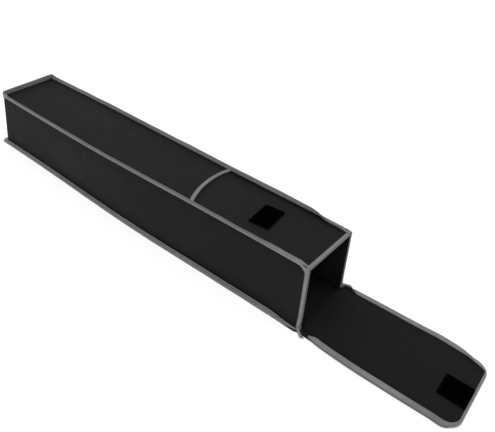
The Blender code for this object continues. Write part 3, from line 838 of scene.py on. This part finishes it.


# The far stretch stands for good, and the two near ones lie pressed low towards the mouth
def makeTopSeam():
    outer = ribHalf - body["root"]
    inner, edge, groove = bands["inner"], bands["round"], bands["groove"]
    sewn = bands["sewn"]
    below, above = sewn - bands["below"], sewn + bands["above"]
    # The third value of a point is the tape's painted shade
    profile = [
        (bands["rootIn"], topZ - bands["rootDrop"]), (outer, topZ - groove), (outer, below),
        (outer - groove, sewn), (outer, above), (outer, ribTop - 2 * edge, 0.3), (outer, ribTop - edge, 1),
        (outer - edge, ribTop, 1), (inner + edge, ribTop, 1), (inner, ribTop - edge, 0.6),
        (inner, ribTop - 2 * edge), (inner, above), (inner + groove, sewn), (inner, below),
        (inner + groove, topZ + bands["innerRise"]), (groove, topZ + bands["rootRise"]),
    ]
    farPath = roundPath(tongueTip, farWall, body["root"], body["corner"], bands["step"])
    farSewn = roundPath(tongueTip, farWall, body["root"], body["corner"], stitch["pitch"],
                        bands["stitchCornerSteps"])
    bm = drawAlong(profile, farPath)
    reshape(bm, waver, layDown, swell)
    finishPiece("topSeamBinding", bm, bindingTape, ["top_seam_binding"])
    rows = ((outer, sewn, (1, 0, 0)), (inner, sewn, (-1, 0, 0)))
    bm = bmesh.new()
    for n, k, facing in rows:
        sewRow(bm, farSewn, (n, k), facing)
    reshape(bm, waver, layDown, swell)
    finishPiece("topSeamStitches", bm, seamThread)
    for side, sign in (("Front", -1), ("Back", 1)):
        ends = ((tongueTip, sign * body["root"], 0), (ribEnd, sign * body["root"], 0))
        bm = drawAlong(profile, straightPath(*ends, (0, sign, 0), (0, 0, 1), bands["step"]))
        reshape(bm, waver, layDown, swell)
        finishPiece("nearSeamBinding" + side, bm, bindingTape, flattens=underTongue)
        bm = bmesh.new()
        for n, k, facing in rows:
            sewRow(bm, straightPath(*ends, (0, sign, 0), (0, 0, 1), stitch["pitch"]), (n, k), facing)
        reshape(bm, waver, layDown, swell)
        finishPiece("nearSeamStitches" + side, bm, seamThread, flattens=underTongue)
    print("top seam made")


def makeBottomSeam():
    reach = footHalf - body["root"]
    edge = bands["round"]
    start, sewn, half = bands["footIn"], bands["footSewn"], bands["footSewnHalf"]
    # The third value of a point is the tape's painted shade
    profile = [
        (start, 0), (reach - edge, 0, 0.3), (reach, edge, 1), (reach, footTop - edge, 1),
        (reach - edge, footTop, 0.7), (reach - 2 * edge, footTop), (sewn + half, footTop),
        (sewn, footTop - bands["groove"]), (sewn - half, footTop), (start, footTop),
    ]
    bm = drawAlong(profile, roundPath(mouthX, farWall, body["root"], body["corner"], bands["step"]))

    def tuck(co):
        share = bands["tuckShare"] * smooth((co.x - mouthX + bands["tuckIn"]) / bands["tuckLength"])
        reach = max(0, abs(co.y) - body["root"] - bands["tuckFrom"])
        return Vector((co.x, math.copysign(abs(co.y) - reach * share, co.y), co.z))

    reshape(bm, waver, tuck, swell)
    finishPiece("bottomSeamBinding", bm, footTapePaintedLighter, ["bottom_seam_binding"])
    bm = bmesh.new()
    end = mouthX - bands["stitchShort"]
    path = roundPath(end, farWall, body["root"], body["corner"], stitch["pitch"], bands["stitchCornerSteps"])
    sewRow(bm, path, (sewn, footTop), (0, 1, 0))
    reshape(bm, waver, swell)
    finishPiece("bottomSeamStitches", bm, seamThread)
    print("bottom seam made")


mouth = {
    "thick": 0.0062, "sewnIn": 0.0021, "sewnHalf": 0.0007, "groove": 0.0003,
    "web": 0.019, "webThick": 0.0008, "webSteps": 8, "webIn": 0.0012, "webDrop": 0.0004, "tailTop": 0.0075,
}
# Each stop of the tape's ends: place, way out, second axis and share of the thickness, for the back side
tail = {
    "steps": 5, "bendFrom": 0.001, "bendTo": 0.012, "out": 0.0042, "up": 0.0004,
    "stops": (
        ((0.5382, 0.0930, 0.0046), (0.05, 0.62, 0.78), (0.86, -0.50, 0.0), 0.66),
        ((0.5330, 0.0902, 0.0060), (0.05, 0.66, 0.75), (0.88, -0.46, 0.0), 0.74),
        ((0.5272, 0.0872, 0.0072), (0.0, 0.80, 0.60), (0.94, -0.34, 0.0), 0.80),
        ((0.5226, 0.0844, 0.0081), (0.0, 0.93, 0.35), (0.99, -0.14, 0.0), 0.90),
    ),
    "upperAxes": ((0, 1, 0.12), (1, 0, 0)),
}


# Up the front, across the top and down the back, with a mitre at both corners
def mouthPath(spacing):
    wide, high, low = mouthHigh.y, mouthHigh.z, mouth["tailTop"]
    points = [Vector((mouthX, y, z)) for y, z in ((-wide, low), (-wide, high), (wide, high), (wide, low))]
    outs = [Vector((0, -1, 0)), Vector((0, 0, 1)), Vector((0, 1, 0))]
    path = []
    for index, out in enumerate(outs):
        leg = straightPath(points[index], points[index + 1], out, (1, 0, 0), spacing)
        path += leg[:-1] if index == 0 else leg[1:-1] if index < 2 else leg[1:]
        if index < 2:
            path.append(station(points[index + 1], out + outs[index + 1], (1, 0, 0), math.sqrt(2)))
    return path


def makeMouth():
    thick = mouth["thick"]
    start = -mouthLeg
    edge = bands["round"]
    sewn, half = start + mouth["sewnIn"], mouth["sewnHalf"]
    # The third value of a point is the tape's painted shade
    profile = [
        (0, start, 0.4), (0, sewn - half), (-mouth["groove"], sewn), (0, sewn + half), (0, -2 * edge),
        (0, -edge, 0.6), (-edge, 0, 1), (edge - thick, 0, 1), (-thick, -edge, 0.6), (-thick, start),
    ]
    bm = drawAlong(profile, mouthPath(bands["step"]))
    reshape(bm, swell)
    finishPiece("mouthBinding", bm, bindingTape, ["mouth_binding"])
    bm = bmesh.new()
    sewRow(bm, mouthPath(stitch["pitch"]), (0, sewn), (1, 0, 0))
    reshape(bm, swell)
    finishPiece("mouthStitches", bm, seamThread)

    # The upper seam's tape widens into the mouth's at the corner of each wall
    for side, sign in (("Front", -1), ("Back", 1)):
        webX = mouthX + start + mouth["webIn"]
        corner = Vector((webX, sign * (body["root"] + cloth), topZ - mouth["webDrop"]))
        bm = bmesh.new()
        ring = [bm.verts.new(corner)]
        for step in range(mouth["webSteps"] + 1):
            turn = math.radians(90 * step / mouth["webSteps"])
            across, up = math.sin(turn) - 1, math.cos(turn) - 1
            ring.append(bm.verts.new(corner + mouth["web"] * Vector((across, 0, up))))
        bm.faces.new(ring)
        thicken(bm, mouth["webThick"])
        bmesh.ops.translate(bm, vec=(0, sign * mouth["webThick"] / 2, 0), verts=bm.verts)
        reshape(bm, swell)
        finishPiece("mouthWeb" + side, bm, bindingTape)

    # The tape's ends run down and out beside the corner of the lid
    bend = ("box", "lid_end", (mouthX + tail["bendFrom"], 0, 0), (mouthX + tail["bendTo"], 0, 0))
    upper = (mouthX, mouthHigh.y + tail["out"], mouth["tailTop"] + tail["up"])
    backStops = (*tail["stops"], (upper, *tail["upperAxes"], 1))
    for side, sign in (("Front", -1), ("Back", 1)):
        stops = []
        for *places, share in backStops:
            stops.append((*[(x, sign * y, z) for x, y, z in places], share))
        bm = drawAlong(profile, easyPath(stops, tail["steps"]))
        finishPiece("mouthTail" + side, bm, bindingTape, bends=bend)
    print("mouth made")


# The two tables give the open lid's edges: a place along it, and the half width as a share of the panel's
lid = {
    "joinX": 0.6598, "step": 0.006, "cornerSteps": 14, "stitchCornerSteps": 10, "frontRadius": 0.0289,
    "backRadius": 0.012, "bottomRadius": 0.017, "tipShort": 0.0020, "bottomIn": 0.0023, "liningIn": 0.003,
    "liningSide": 0.0032, "edge": 0.024, "bandStart": 0.5435, "bandGrow": 0.014, "bandStartShare": 0.45,
    "frontBandShare": 0.95, "backBandShare": 0.92, "tipBandShare": 0.27, "backNarrowShare": 0.40,
    "narrowStart": 0.765, "narrowLength": 0.03, "bendHalf": 0.006, "underBack": 0.005, "underFront": 0.001,
    "foldHalf": 0.005, "climbIn": 0.012, "climbLength": 0.014, "liningClimbIn": 0.010,
    "liningClimbLength": 0.009, "widenFrom": 0.0005, "widenLength": 0.004, "lift": 0.0006, "liftBase": 0.4,
    "liftScale": 14, "seed": 21.0, "softEdge": 0.02, "softStart": 0.006, "patchClear": 0.004,
    "crease": 0.0005, "creaseWide": 0.0025, "creaseDipShare": 0.6,
    "frontShares": (
        (0.520, 1.0), (0.547, 1.0), (0.576, 1.035), (0.640, 1.056), (0.700, 1.042), (0.736, 1.030),
        (0.788, 1.008), (0.805, 1.016), (0.8185, 0.995), (0.8313, 0.94),
    ),
    "backShares": (
        (0.520, 1.0), (0.580, 1.035), (0.700, 1.078), (0.730, 1.098), (0.750, 1.090), (0.770, 1.070),
        (0.790, 1.014), (0.811, 0.935), (0.822, 0.890), (0.8313, 0.865),
    ),
}


def shareAt(table, x):
    x = min(max(x, table[0][0]), table[-1][0])
    for index in range(len(table) - 1):
        (lowX, low), (highX, high) = table[index:index + 2]
        if x > highX:
            continue
        before = table[max(index - 1, 0)]
        after = table[min(index + 2, len(table) - 1)]
        width = highX - lowX
        lowSlope = (high - before[1]) / (highX - before[0]) * width
        highSlope = (after[1] - low) / (after[0] - lowX) * width
        t = (x - lowX) / width
        return ((2 * t ** 3 - 3 * t ** 2 + 1) * low + (t ** 3 - 2 * t ** 2 + t) * lowSlope
                + (3 * t ** 2 - 2 * t ** 3) * high + (t ** 3 - t ** 2) * highSlope)
    return table[-1][1]


def spreadLid(co):
    if co.x < mouthX:
        return co
    return Vector((co.x, co.y * shareAt(lid["frontShares" if co.y < 0 else "backShares"], co.x), co.z))


def bandFrames(path):
    frames = []
    for here in path:
        out = here.to_3x3() @ Vector((1, 0, 0))
        x = here.translation.x
        narrow = lid["backNarrowShare"] * smooth((x - lid["narrowStart"]) / lid["narrowLength"])
        side = lid["frontBandShare"] if out.y < 0 else lid["backBandShare"] * (1 - narrow)
        grown = smooth((x - lid["bandStart"]) / lid["bandGrow"])
        side *= lid["bandStartShare"] + (1 - lid["bandStartShare"]) * grown
        share = side * out.y ** 2 + lid["tipBandShare"] * out.x ** 2
        frames.append(here @ Matrix.Diagonal((share, 1, 1, 1)))
    return frames


# The lid's folded tape and, short of the hinge, the bare cloth that closes round its board
lidTape = {
    "wide": 0.0109, "edge": 0.0002, "proud": 0.0011, "sewn": 0.0084, "sewnHalf": 0.0006, "groove": 0.0003,
    "rootX": 0.0008, "pierce": 0.0002,
}
lidCorner = {"wide": 0.006, "fold": 0.0005, "proud": 0.0010, "start": 0.0002, "overlap": 0.006, "step": 0.002}


def makeLid():
    clothLow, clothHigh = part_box("lid_end_panel")
    half = clothHigh.y
    clothMiddle = clothLow.z + cloth / 2
    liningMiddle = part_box("lid_end_lining")[1].z - liningCloth / 2
    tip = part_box("tongue_panel")[1].x - lid["tipShort"]
    boxBottom = cloth / 2
    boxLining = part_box("bottom_lining")[1].z - liningCloth / 2
    narrowShare = (body["root"] - lid["liningSide"]) / half
    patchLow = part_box("hook_patch")[0]

    def liftCloth(co):
        share = smooth((co.x - mouthX + lid["climbIn"]) / lid["climbLength"])
        return Vector((co.x, co.y, co.z + boxBottom + (clothMiddle - boxBottom) * share))

    def liftLining(co):
        share = smooth((co.x - mouthX + lid["liningClimbIn"]) / lid["liningClimbLength"])
        wide = smooth((co.x - mouthX - lid["widenFrom"]) / lid["widenLength"])
        y = co.y * (narrowShare + (1 - narrowShare) * wide)
        return Vector((co.x, y, co.z + boxLining + (liningMiddle - boxLining) * share))

    def soften(co):
        free = smooth((half - abs(co.y)) / lid["softEdge"])
        free *= smooth((co.x - hingeX - lid["softStart"]) / lid["softEdge"])
        free *= smooth((patchLow.x - lid["patchClear"] - co.x) / lid["softEdge"])
        lift = lid["lift"] * max(0, ripple(co, lid["liftScale"], lid["seed"]) + lid["liftBase"])
        dip = math.exp(-((co.x - foldX) / lid["creaseWide"]) ** 2)
        return co + Vector((0, 0, free * lift * (1 - dip) - lid["crease"] * lid["creaseDipShare"] * dip))

    bend = ("box", "lid_end", (hingeX - lid["bendHalf"], 0, 0), (hingeX + lid["bendHalf"], 0, 0))
    under = ("box", "lid_end", (hingeX - lid["underBack"], 0, 0), (hingeX + lid["underFront"], 0, 0))
    fold = ("lid_end", "tongue", (foldX - lid["foldHalf"], 0, 0), (foldX + lid["foldHalf"], 0, 0))
    start = farWall - (footHalf - body["root"]) + lid["bottomIn"]
    bm = cutPanel(start, lid["joinX"], half, lid["step"], start, lid["bottomRadius"], folds=(hingeX,))
    thicken(bm, cloth)
    reshape(bm, liftCloth, swell, spreadLid)
    finishPiece("bottomCloth", bm, outerCloth, ["bottom_panel", "lid_end_panel"], bends=under)
    start = farWall + lid["liningIn"]
    # The lining's painted shade reaches in from its sides past the tape's inner edge
    bm = cutPanel(start, lid["joinX"], half, lid["step"], edge=lid["edge"], folds=(hingeX,))
    thicken(bm, liningCloth)
    reshape(bm, liftLining, soften, rack, spreadLid)
    finishPiece("bottomLining", bm, innerCloth, ["bottom_lining", "lid_end_lining"],
                bends=bend)
    ends = (lid["joinX"], tip, half, lid["step"], tip, lid["frontRadius"], lid["backRadius"])
    bm = cutPanel(*ends)
    thicken(bm, cloth)
    bmesh.ops.translate(bm, vec=(0, 0, clothMiddle), verts=bm.verts)
    reshape(bm, spreadLid)
    finishPiece("lidCloth", bm, outerCloth, ["tongue_panel"], bends=fold)
    # Painted shade towards the lining's sides, reaching past the tape's inner edge
    bm = cutPanel(*ends, lid["edge"])
    thicken(bm, liningCloth)
    bmesh.ops.translate(bm, vec=(0, 0, liningMiddle), verts=bm.verts)
    reshape(bm, soften, spreadLid)
    finishPiece("lidLining", bm, innerCloth, ["tongue_lining"], bends=fold)

    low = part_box("tongue_binding")[0].z
    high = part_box("tongue_binding")[1].z
    middle = (low + high) / 2
    rise = (high - low) / 2
    wide, edge, proud = lidTape["wide"], lidTape["edge"], lidTape["proud"]
    sewn, sewnHalf, groove = lidTape["sewn"], lidTape["sewnHalf"], lidTape["groove"]
    # The third value of a point is the tape's painted shade
    profile = [
        (-wide, groove - rise), (edge, -rise, 0.3), (proud, -0.6 * rise, 1), (proud, 0.5 * rise, 1),
        (edge, rise, 0.6), (-lidTape["rootX"], rise), (sewnHalf - sewn, rise), (-sewn, rise - groove),
        (-sewn - sewnHalf, rise), (-wide, rise - groove, 0.5),
    ]

    def lidPath(spacing, steps):
        path = roundPath(lid["bandStart"], tip, half, lid["frontRadius"], spacing, steps, lid["backRadius"])
        return bandFrames([Matrix.Translation((0, 0, middle)) @ place for place in path])

    bm = drawAlong(profile, lidPath(bands["step"], lid["cornerSteps"]))
    reshape(bm, spreadLid)
    finishPiece("lidBinding", bm, bindingTape,
                ["lid_end_binding_front", "lid_end_binding_back", "tongue_binding"], bends=fold)
    bm = bmesh.new()
    path = lidPath(stitch["pitch"], lid["stitchCornerSteps"])
    sewRow(bm, path, (-sewn, rise - groove), (0, 1, 0))
    sewRow(bm, path, (-sewn, lidTape["pierce"] - rise), (0, -1, 0))
    reshape(bm, spreadLid)
    finishPiece("lidStitches", bm, seamThread, bends=fold)

    wide, fold, proud = lidCorner["wide"], lidCorner["fold"], lidCorner["proud"]
    inner = fold + 0.0001
    # The third value of a point is the cloth's painted shade, on its proud edge
    profile = [
        (-wide, -rise + 0.0011), (-fold, proud - rise), (proud, -0.4 * rise, 1), (proud, 0.3 * rise, 1),
        (0, rise - 0.0006), (-wide, rise - fold), (-wide, rise - 0.0014), (-inner, rise - 0.0015),
        (-inner, 0.0019 - rise), (-wide, 0.0019 - rise),
    ]
    for side, sign in (("Front", -1), ("Back", 1)):
        start, end = mouthX + lidCorner["start"], lid["bandStart"] + lidCorner["overlap"]
        path = straightPath((start, sign * half, middle), (end, sign * half, middle), (0, sign, 0), (0, 0, 1),
                            lidCorner["step"])
        bm = drawAlong(profile, path)
        reshape(bm, spreadLid)
        finishPiece("lidCorner" + side, bm, outerCloth, bends=bend)
    print("lid made")


patches = {
    "loop": {"node": "loop_patch", "rides": "box", "size": (0.046, 0.070), "turn": math.radians(7)},
    "hook": {"node": "hook_patch", "rides": "tongue", "size": (0.051, 0.050), "turn": 0},
    "edge": 0.0007, "cornerRadius": 0.0015, "step": 0.003, "stitchIn": 0.0022, "stitchSpread": 0.0012,
    "stitchDip": 0.0004, "pitch": 0.0034, "rough": 0.0003, "roughScale": 300, "seed": 2.0,
}


def makePatches():
    for name in ("loop", "hook"):
        look = patches[name]
        low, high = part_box(look["node"])
        wide, deep = look["size"]
        centre = (low + high) / 2
        place = Matrix.Translation((centre.x, centre.y, low.z)) @ Matrix.Rotation(look["turn"], 4, "Z")
        thick = high.z - low.z
        bm = bmesh.new()
        bmesh.ops.create_cube(bm, size=1)
        bmesh.ops.scale(bm, vec=(wide, deep, thick), verts=bm.verts)
        bmesh.ops.translate(bm, vec=(0, 0, thick / 2), verts=bm.verts)
        upright = [edge for edge in bm.edges if abs(edge.verts[0].co.z - edge.verts[1].co.z) > thick / 2]
        roundEdges(bm, upright, patches["cornerRadius"], 4)
        rim = [edge for edge in bm.edges if edge.verts[0].co.z > thick / 2 and edge.verts[1].co.z > thick / 2]
        roundEdges(bm, rim, patches["edge"])
        for axis, size in ((Vector((1, 0, 0)), wide), (Vector((0, 1, 0)), deep)):
            count = round(size / patches["step"])
            for cut in range(1, count):
                cutAcross(bm, axis, size * cut / count - size / 2)

        def press(co):
            if co.z < thick / 2:
                return co
            inward = min(wide / 2 - abs(co.x), deep / 2 - abs(co.y))
            sewn = math.exp(-((inward - patches["stitchIn"]) / patches["stitchSpread"]) ** 2)
            lump = patches["rough"] * ripple(co, patches["roughScale"], patches["seed"])
            return Vector((co.x, co.y, co.z - patches["stitchDip"] * sewn + min(0, lump)))

        reshape(bm, press)
        bmesh.ops.transform(bm, matrix=place, verts=bm.verts)
        finishPiece(name + "Patch", bm, pilePatch, [look["node"]], rides=look["rides"])
        x, y = wide / 2 - patches["stitchIn"], deep / 2 - patches["stitchIn"]
        level = thick - patches["stitchDip"]
        ring = [(-x, -y, level), (x, -y, level), (x, y, level), (-x, y, level), (-x, -y, level)]
        bm = bmesh.new()
        for start, end in zip(ring, ring[1:]):
            path = straightPath(start, end, (0, 0, 1), Vector(end) - Vector(start), patches["pitch"])
            sewRow(bm, path, (0, 0), (1, 0, 0))
        bmesh.ops.transform(bm, matrix=place, verts=bm.verts)
        finishPiece(name + "Stitches", bm, darkThread, rides=look["rides"])
    print("patches made")


strap = {
    "thick": 0.0012, "edge": 0.0003, "rows": 14, "edgeAngle": 1.2, "bendHalf": 0.002, "turnSteps": 8,
    "smallest": 0.0001, "foldIn": 0.0008, "foldStep": 0.002, "sewnIn": 0.004, "pitch": 0.0030,
}


# One length of webbing, folded at 45 degrees at both outer corners
def makeHandle():
    low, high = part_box("handle_strap")
    tailLow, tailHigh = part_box("handle_tail_back")
    inner, outer, end = tailLow.y, high.y, tailHigh.x
    foldLine = joints["handle_fold"].x
    crease = low.x + outer - inner
    gripZ = strap["thick"] / 2
    legZ = tailLow.z + strap["thick"] / 2
    corners = [(low.x, -inner), (crease, -outer), (crease, outer), (low.x, inner)]
    shapes = [[(x, y, gripZ) for x, y in corners]]
    for sign in (-1, 1):
        corners = [(end, sign * inner), (end, sign * outer), (crease, sign * outer), (low.x, sign * inner)]
        shapes.append([(x, y, legZ) for x, y in corners])
    bendHalf = strap["bendHalf"]
    bends = ("lid_end", "handle", (foldLine + bendHalf, 0, 0), (foldLine - bendHalf, 0, 0))
    bm = bmesh.new()
    thread = bm.verts.layers.float_vector.new("thread")
    for index, corners in enumerate(shapes):
        face = bm.faces.new([bm.verts.new(place) for place in corners])
        for vert in face.verts:
            along, across = (vert.co.y, vert.co.x) if index == 0 else (vert.co.x, vert.co.y)
            vert[thread] = (along, across, 0)
    for cut in range(1, strap["rows"]):
        cutAcross(bm, Vector((1, 0, 0)), low.x + (end - low.x) * cut / strap["rows"])
    thicken(bm, strap["thick"])
    sides = [edge for edge in bm.edges if len(edge.link_faces) == 2]
    sides = [edge for edge in sides if edge.calc_face_angle(0) > strap["edgeAngle"]]
    roundEdges(bm, sides, strap["edge"])
    finishPiece("handleStrap", bm, handleWebbing,
                ["handle_strap", "handle_tail_front", "handle_tail_back"], bends=bends)

    # The fold itself, a half turn of webbing along each slanted crease
    radius = (legZ - gripZ) / 2 + strap["thick"] / 2
    bore = max(radius - strap["thick"], strap["smallest"])
    turns = [math.radians(-90 + 180 * step / strap["turnSteps"]) for step in range(strap["turnSteps"] + 1)]
    profile = [(radius * math.cos(turn), radius * math.sin(turn)) for turn in turns]
    profile += [(bore * math.cos(turn), bore * math.sin(turn)) for turn in reversed(turns)]
    middle = (legZ + gripZ) / 2
    for side, sign in (("Front", -1), ("Back", 1)):
        out = Vector((-1, sign, 0)).normalized()
        inward = strap["foldIn"] * out
        start = Vector((low.x, sign * inner, middle)) - inward
        finish = Vector((crease, sign * outer, middle)) - inward
        bm = drawAlong(profile, straightPath(start, finish, out, (0, 0, 1), strap["foldStep"]))
        finishPiece("handleFold" + side, bm, handleWebbing, rides="handle")

    # A sewn box with a cross holds each tail
    bm = bmesh.new()
    inset = strap["sewnIn"]
    underside = tailLow.z
    for sign in (-1, 1):
        lowX, highX = foldLine + inset, end - inset
        lowY, highY = sorted((sign * (inner + inset), sign * (outer - inset)))
        ring = [(lowX, lowY), (highX, lowY), (highX, highY), (lowX, highY), (lowX, lowY), (highX, highY)]
        ring = [(x, y, underside) for x, y in ring]
        lines = list(zip(ring, ring[1:])) + [(ring[1], ring[3])]
        for start, finish in lines:
            path = straightPath(start, finish, (0, 0, -1), Vector(finish) - Vector(start), strap["pitch"])
            sewRow(bm, path, (0, 0), (1, 0, 0))
    finishPiece("handleStitches", bm, darkThread, rides="lid_end")
    print("handle made")


boards = {"step": 0.03, "edge": 0.0004}


# The boards in the walls and the top give with the box, and the flat ones stay as they are
def makeBoards():
    for name in ("front", "back", "end", "top"):
        low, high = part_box(name + "_board")
        bm = bmesh.new()
        bmesh.ops.create_cube(bm, size=1)
        bmesh.ops.scale(bm, vec=high - low, verts=bm.verts)
        bmesh.ops.translate(bm, vec=(low + high) / 2, verts=bm.verts)
        roundEdges(bm, bm.edges[:], boards["edge"])
        for index, axis in enumerate(((1, 0, 0), (0, 1, 0), (0, 0, 1))):
            count = round((high - low)[index] / boards["step"])
            for cut in range(1, count):
                cutAcross(bm, Vector(axis), low[index] + (high - low)[index] * cut / count)
        reshape(bm, rack)
        finishPiece(name + "Board", bm, stiffBoard, [name + "_board"])
    for name, node in frame["nodes"].items():
        if name.endswith("board"):
            node.data.materials.clear()
            node.data.materials.append(stiffBoard)


# Floor, light and camera
studio = {
    "floorSize": 14, "floorZ": -0.0004, "floorColour": (0.30, 0.30, 0.30), "floorGlow": 0.76,
    "floorRoughness": 0.6, "floorSpecular": 0.2, "worldLight": 1.12,
    "keyPlace": (0.6, -1.6, 2.6), "keySize": 2.4, "keyPower": 6,
}
view = {
    "place": (0.8818, -0.7680, 0.8102), "turn": (62.408, -4.141, 39.437), "lens": 40.015,
    "shiftUp": -80 / 495,
}


def makeStudio():
    bm = bmesh.new()
    bmesh.ops.create_grid(bm, x_segments=1, y_segments=1, size=studio["floorSize"] / 2)
    mesh = bpy.data.meshes.new("floor")
    bm.to_mesh(mesh)
    bm.free()
    material, tree, shader = startMaterial("paleFloor", studio["floorRoughness"], studio["floorSpecular"])[:3]
    shader.inputs["Base Color"].default_value = (*studio["floorColour"], 1)
    shader.inputs["Emission Color"].default_value = (1, 1, 1, 1)
    shader.inputs["Emission Strength"].default_value = studio["floorGlow"]
    mesh.materials.append(material)
    floor = bpy.data.objects.new("floor", mesh)
    floor.location.z = studio["floorZ"]
    bpy.context.scene.collection.objects.link(floor)
    world = bpy.data.worlds.new("studio")
    world.use_nodes = True
    world.node_tree.nodes["Background"].inputs["Color"].default_value = (1, 1, 1, 1)
    world.node_tree.nodes["Background"].inputs["Strength"].default_value = studio["worldLight"]
    bpy.context.scene.world = world
    light = bpy.data.lights.new("keyLight", "AREA")
    light.energy = studio["keyPower"]
    light.size = studio["keySize"]
    key = bpy.data.objects.new("keyLight", light)
    key.location = studio["keyPlace"]
    key.rotation_euler = (-Vector(studio["keyPlace"])).to_track_quat("-Z", "Y").to_euler()
    bpy.context.scene.collection.objects.link(key)
    bpy.context.scene.view_settings.view_transform = "Standard"


def makeCamera():
    camera = bpy.data.objects.new("camera", bpy.data.cameras.new("camera"))
    camera.data.lens = view["lens"]
    camera.data.shift_y = view["shiftUp"]
    camera.location = view["place"]
    camera.rotation_euler = Euler([math.radians(angle) for angle in view["turn"]])
    bpy.context.scene.collection.objects.link(camera)
    bpy.context.scene.camera = camera


makeCamera()
makeStudio()
makeWalls()
makeTop()
makePocket()
makeTopSeam()
makeBottomSeam()
makeMouth()
makeLid()
makePatches()
makeHandle()
makeBoards()
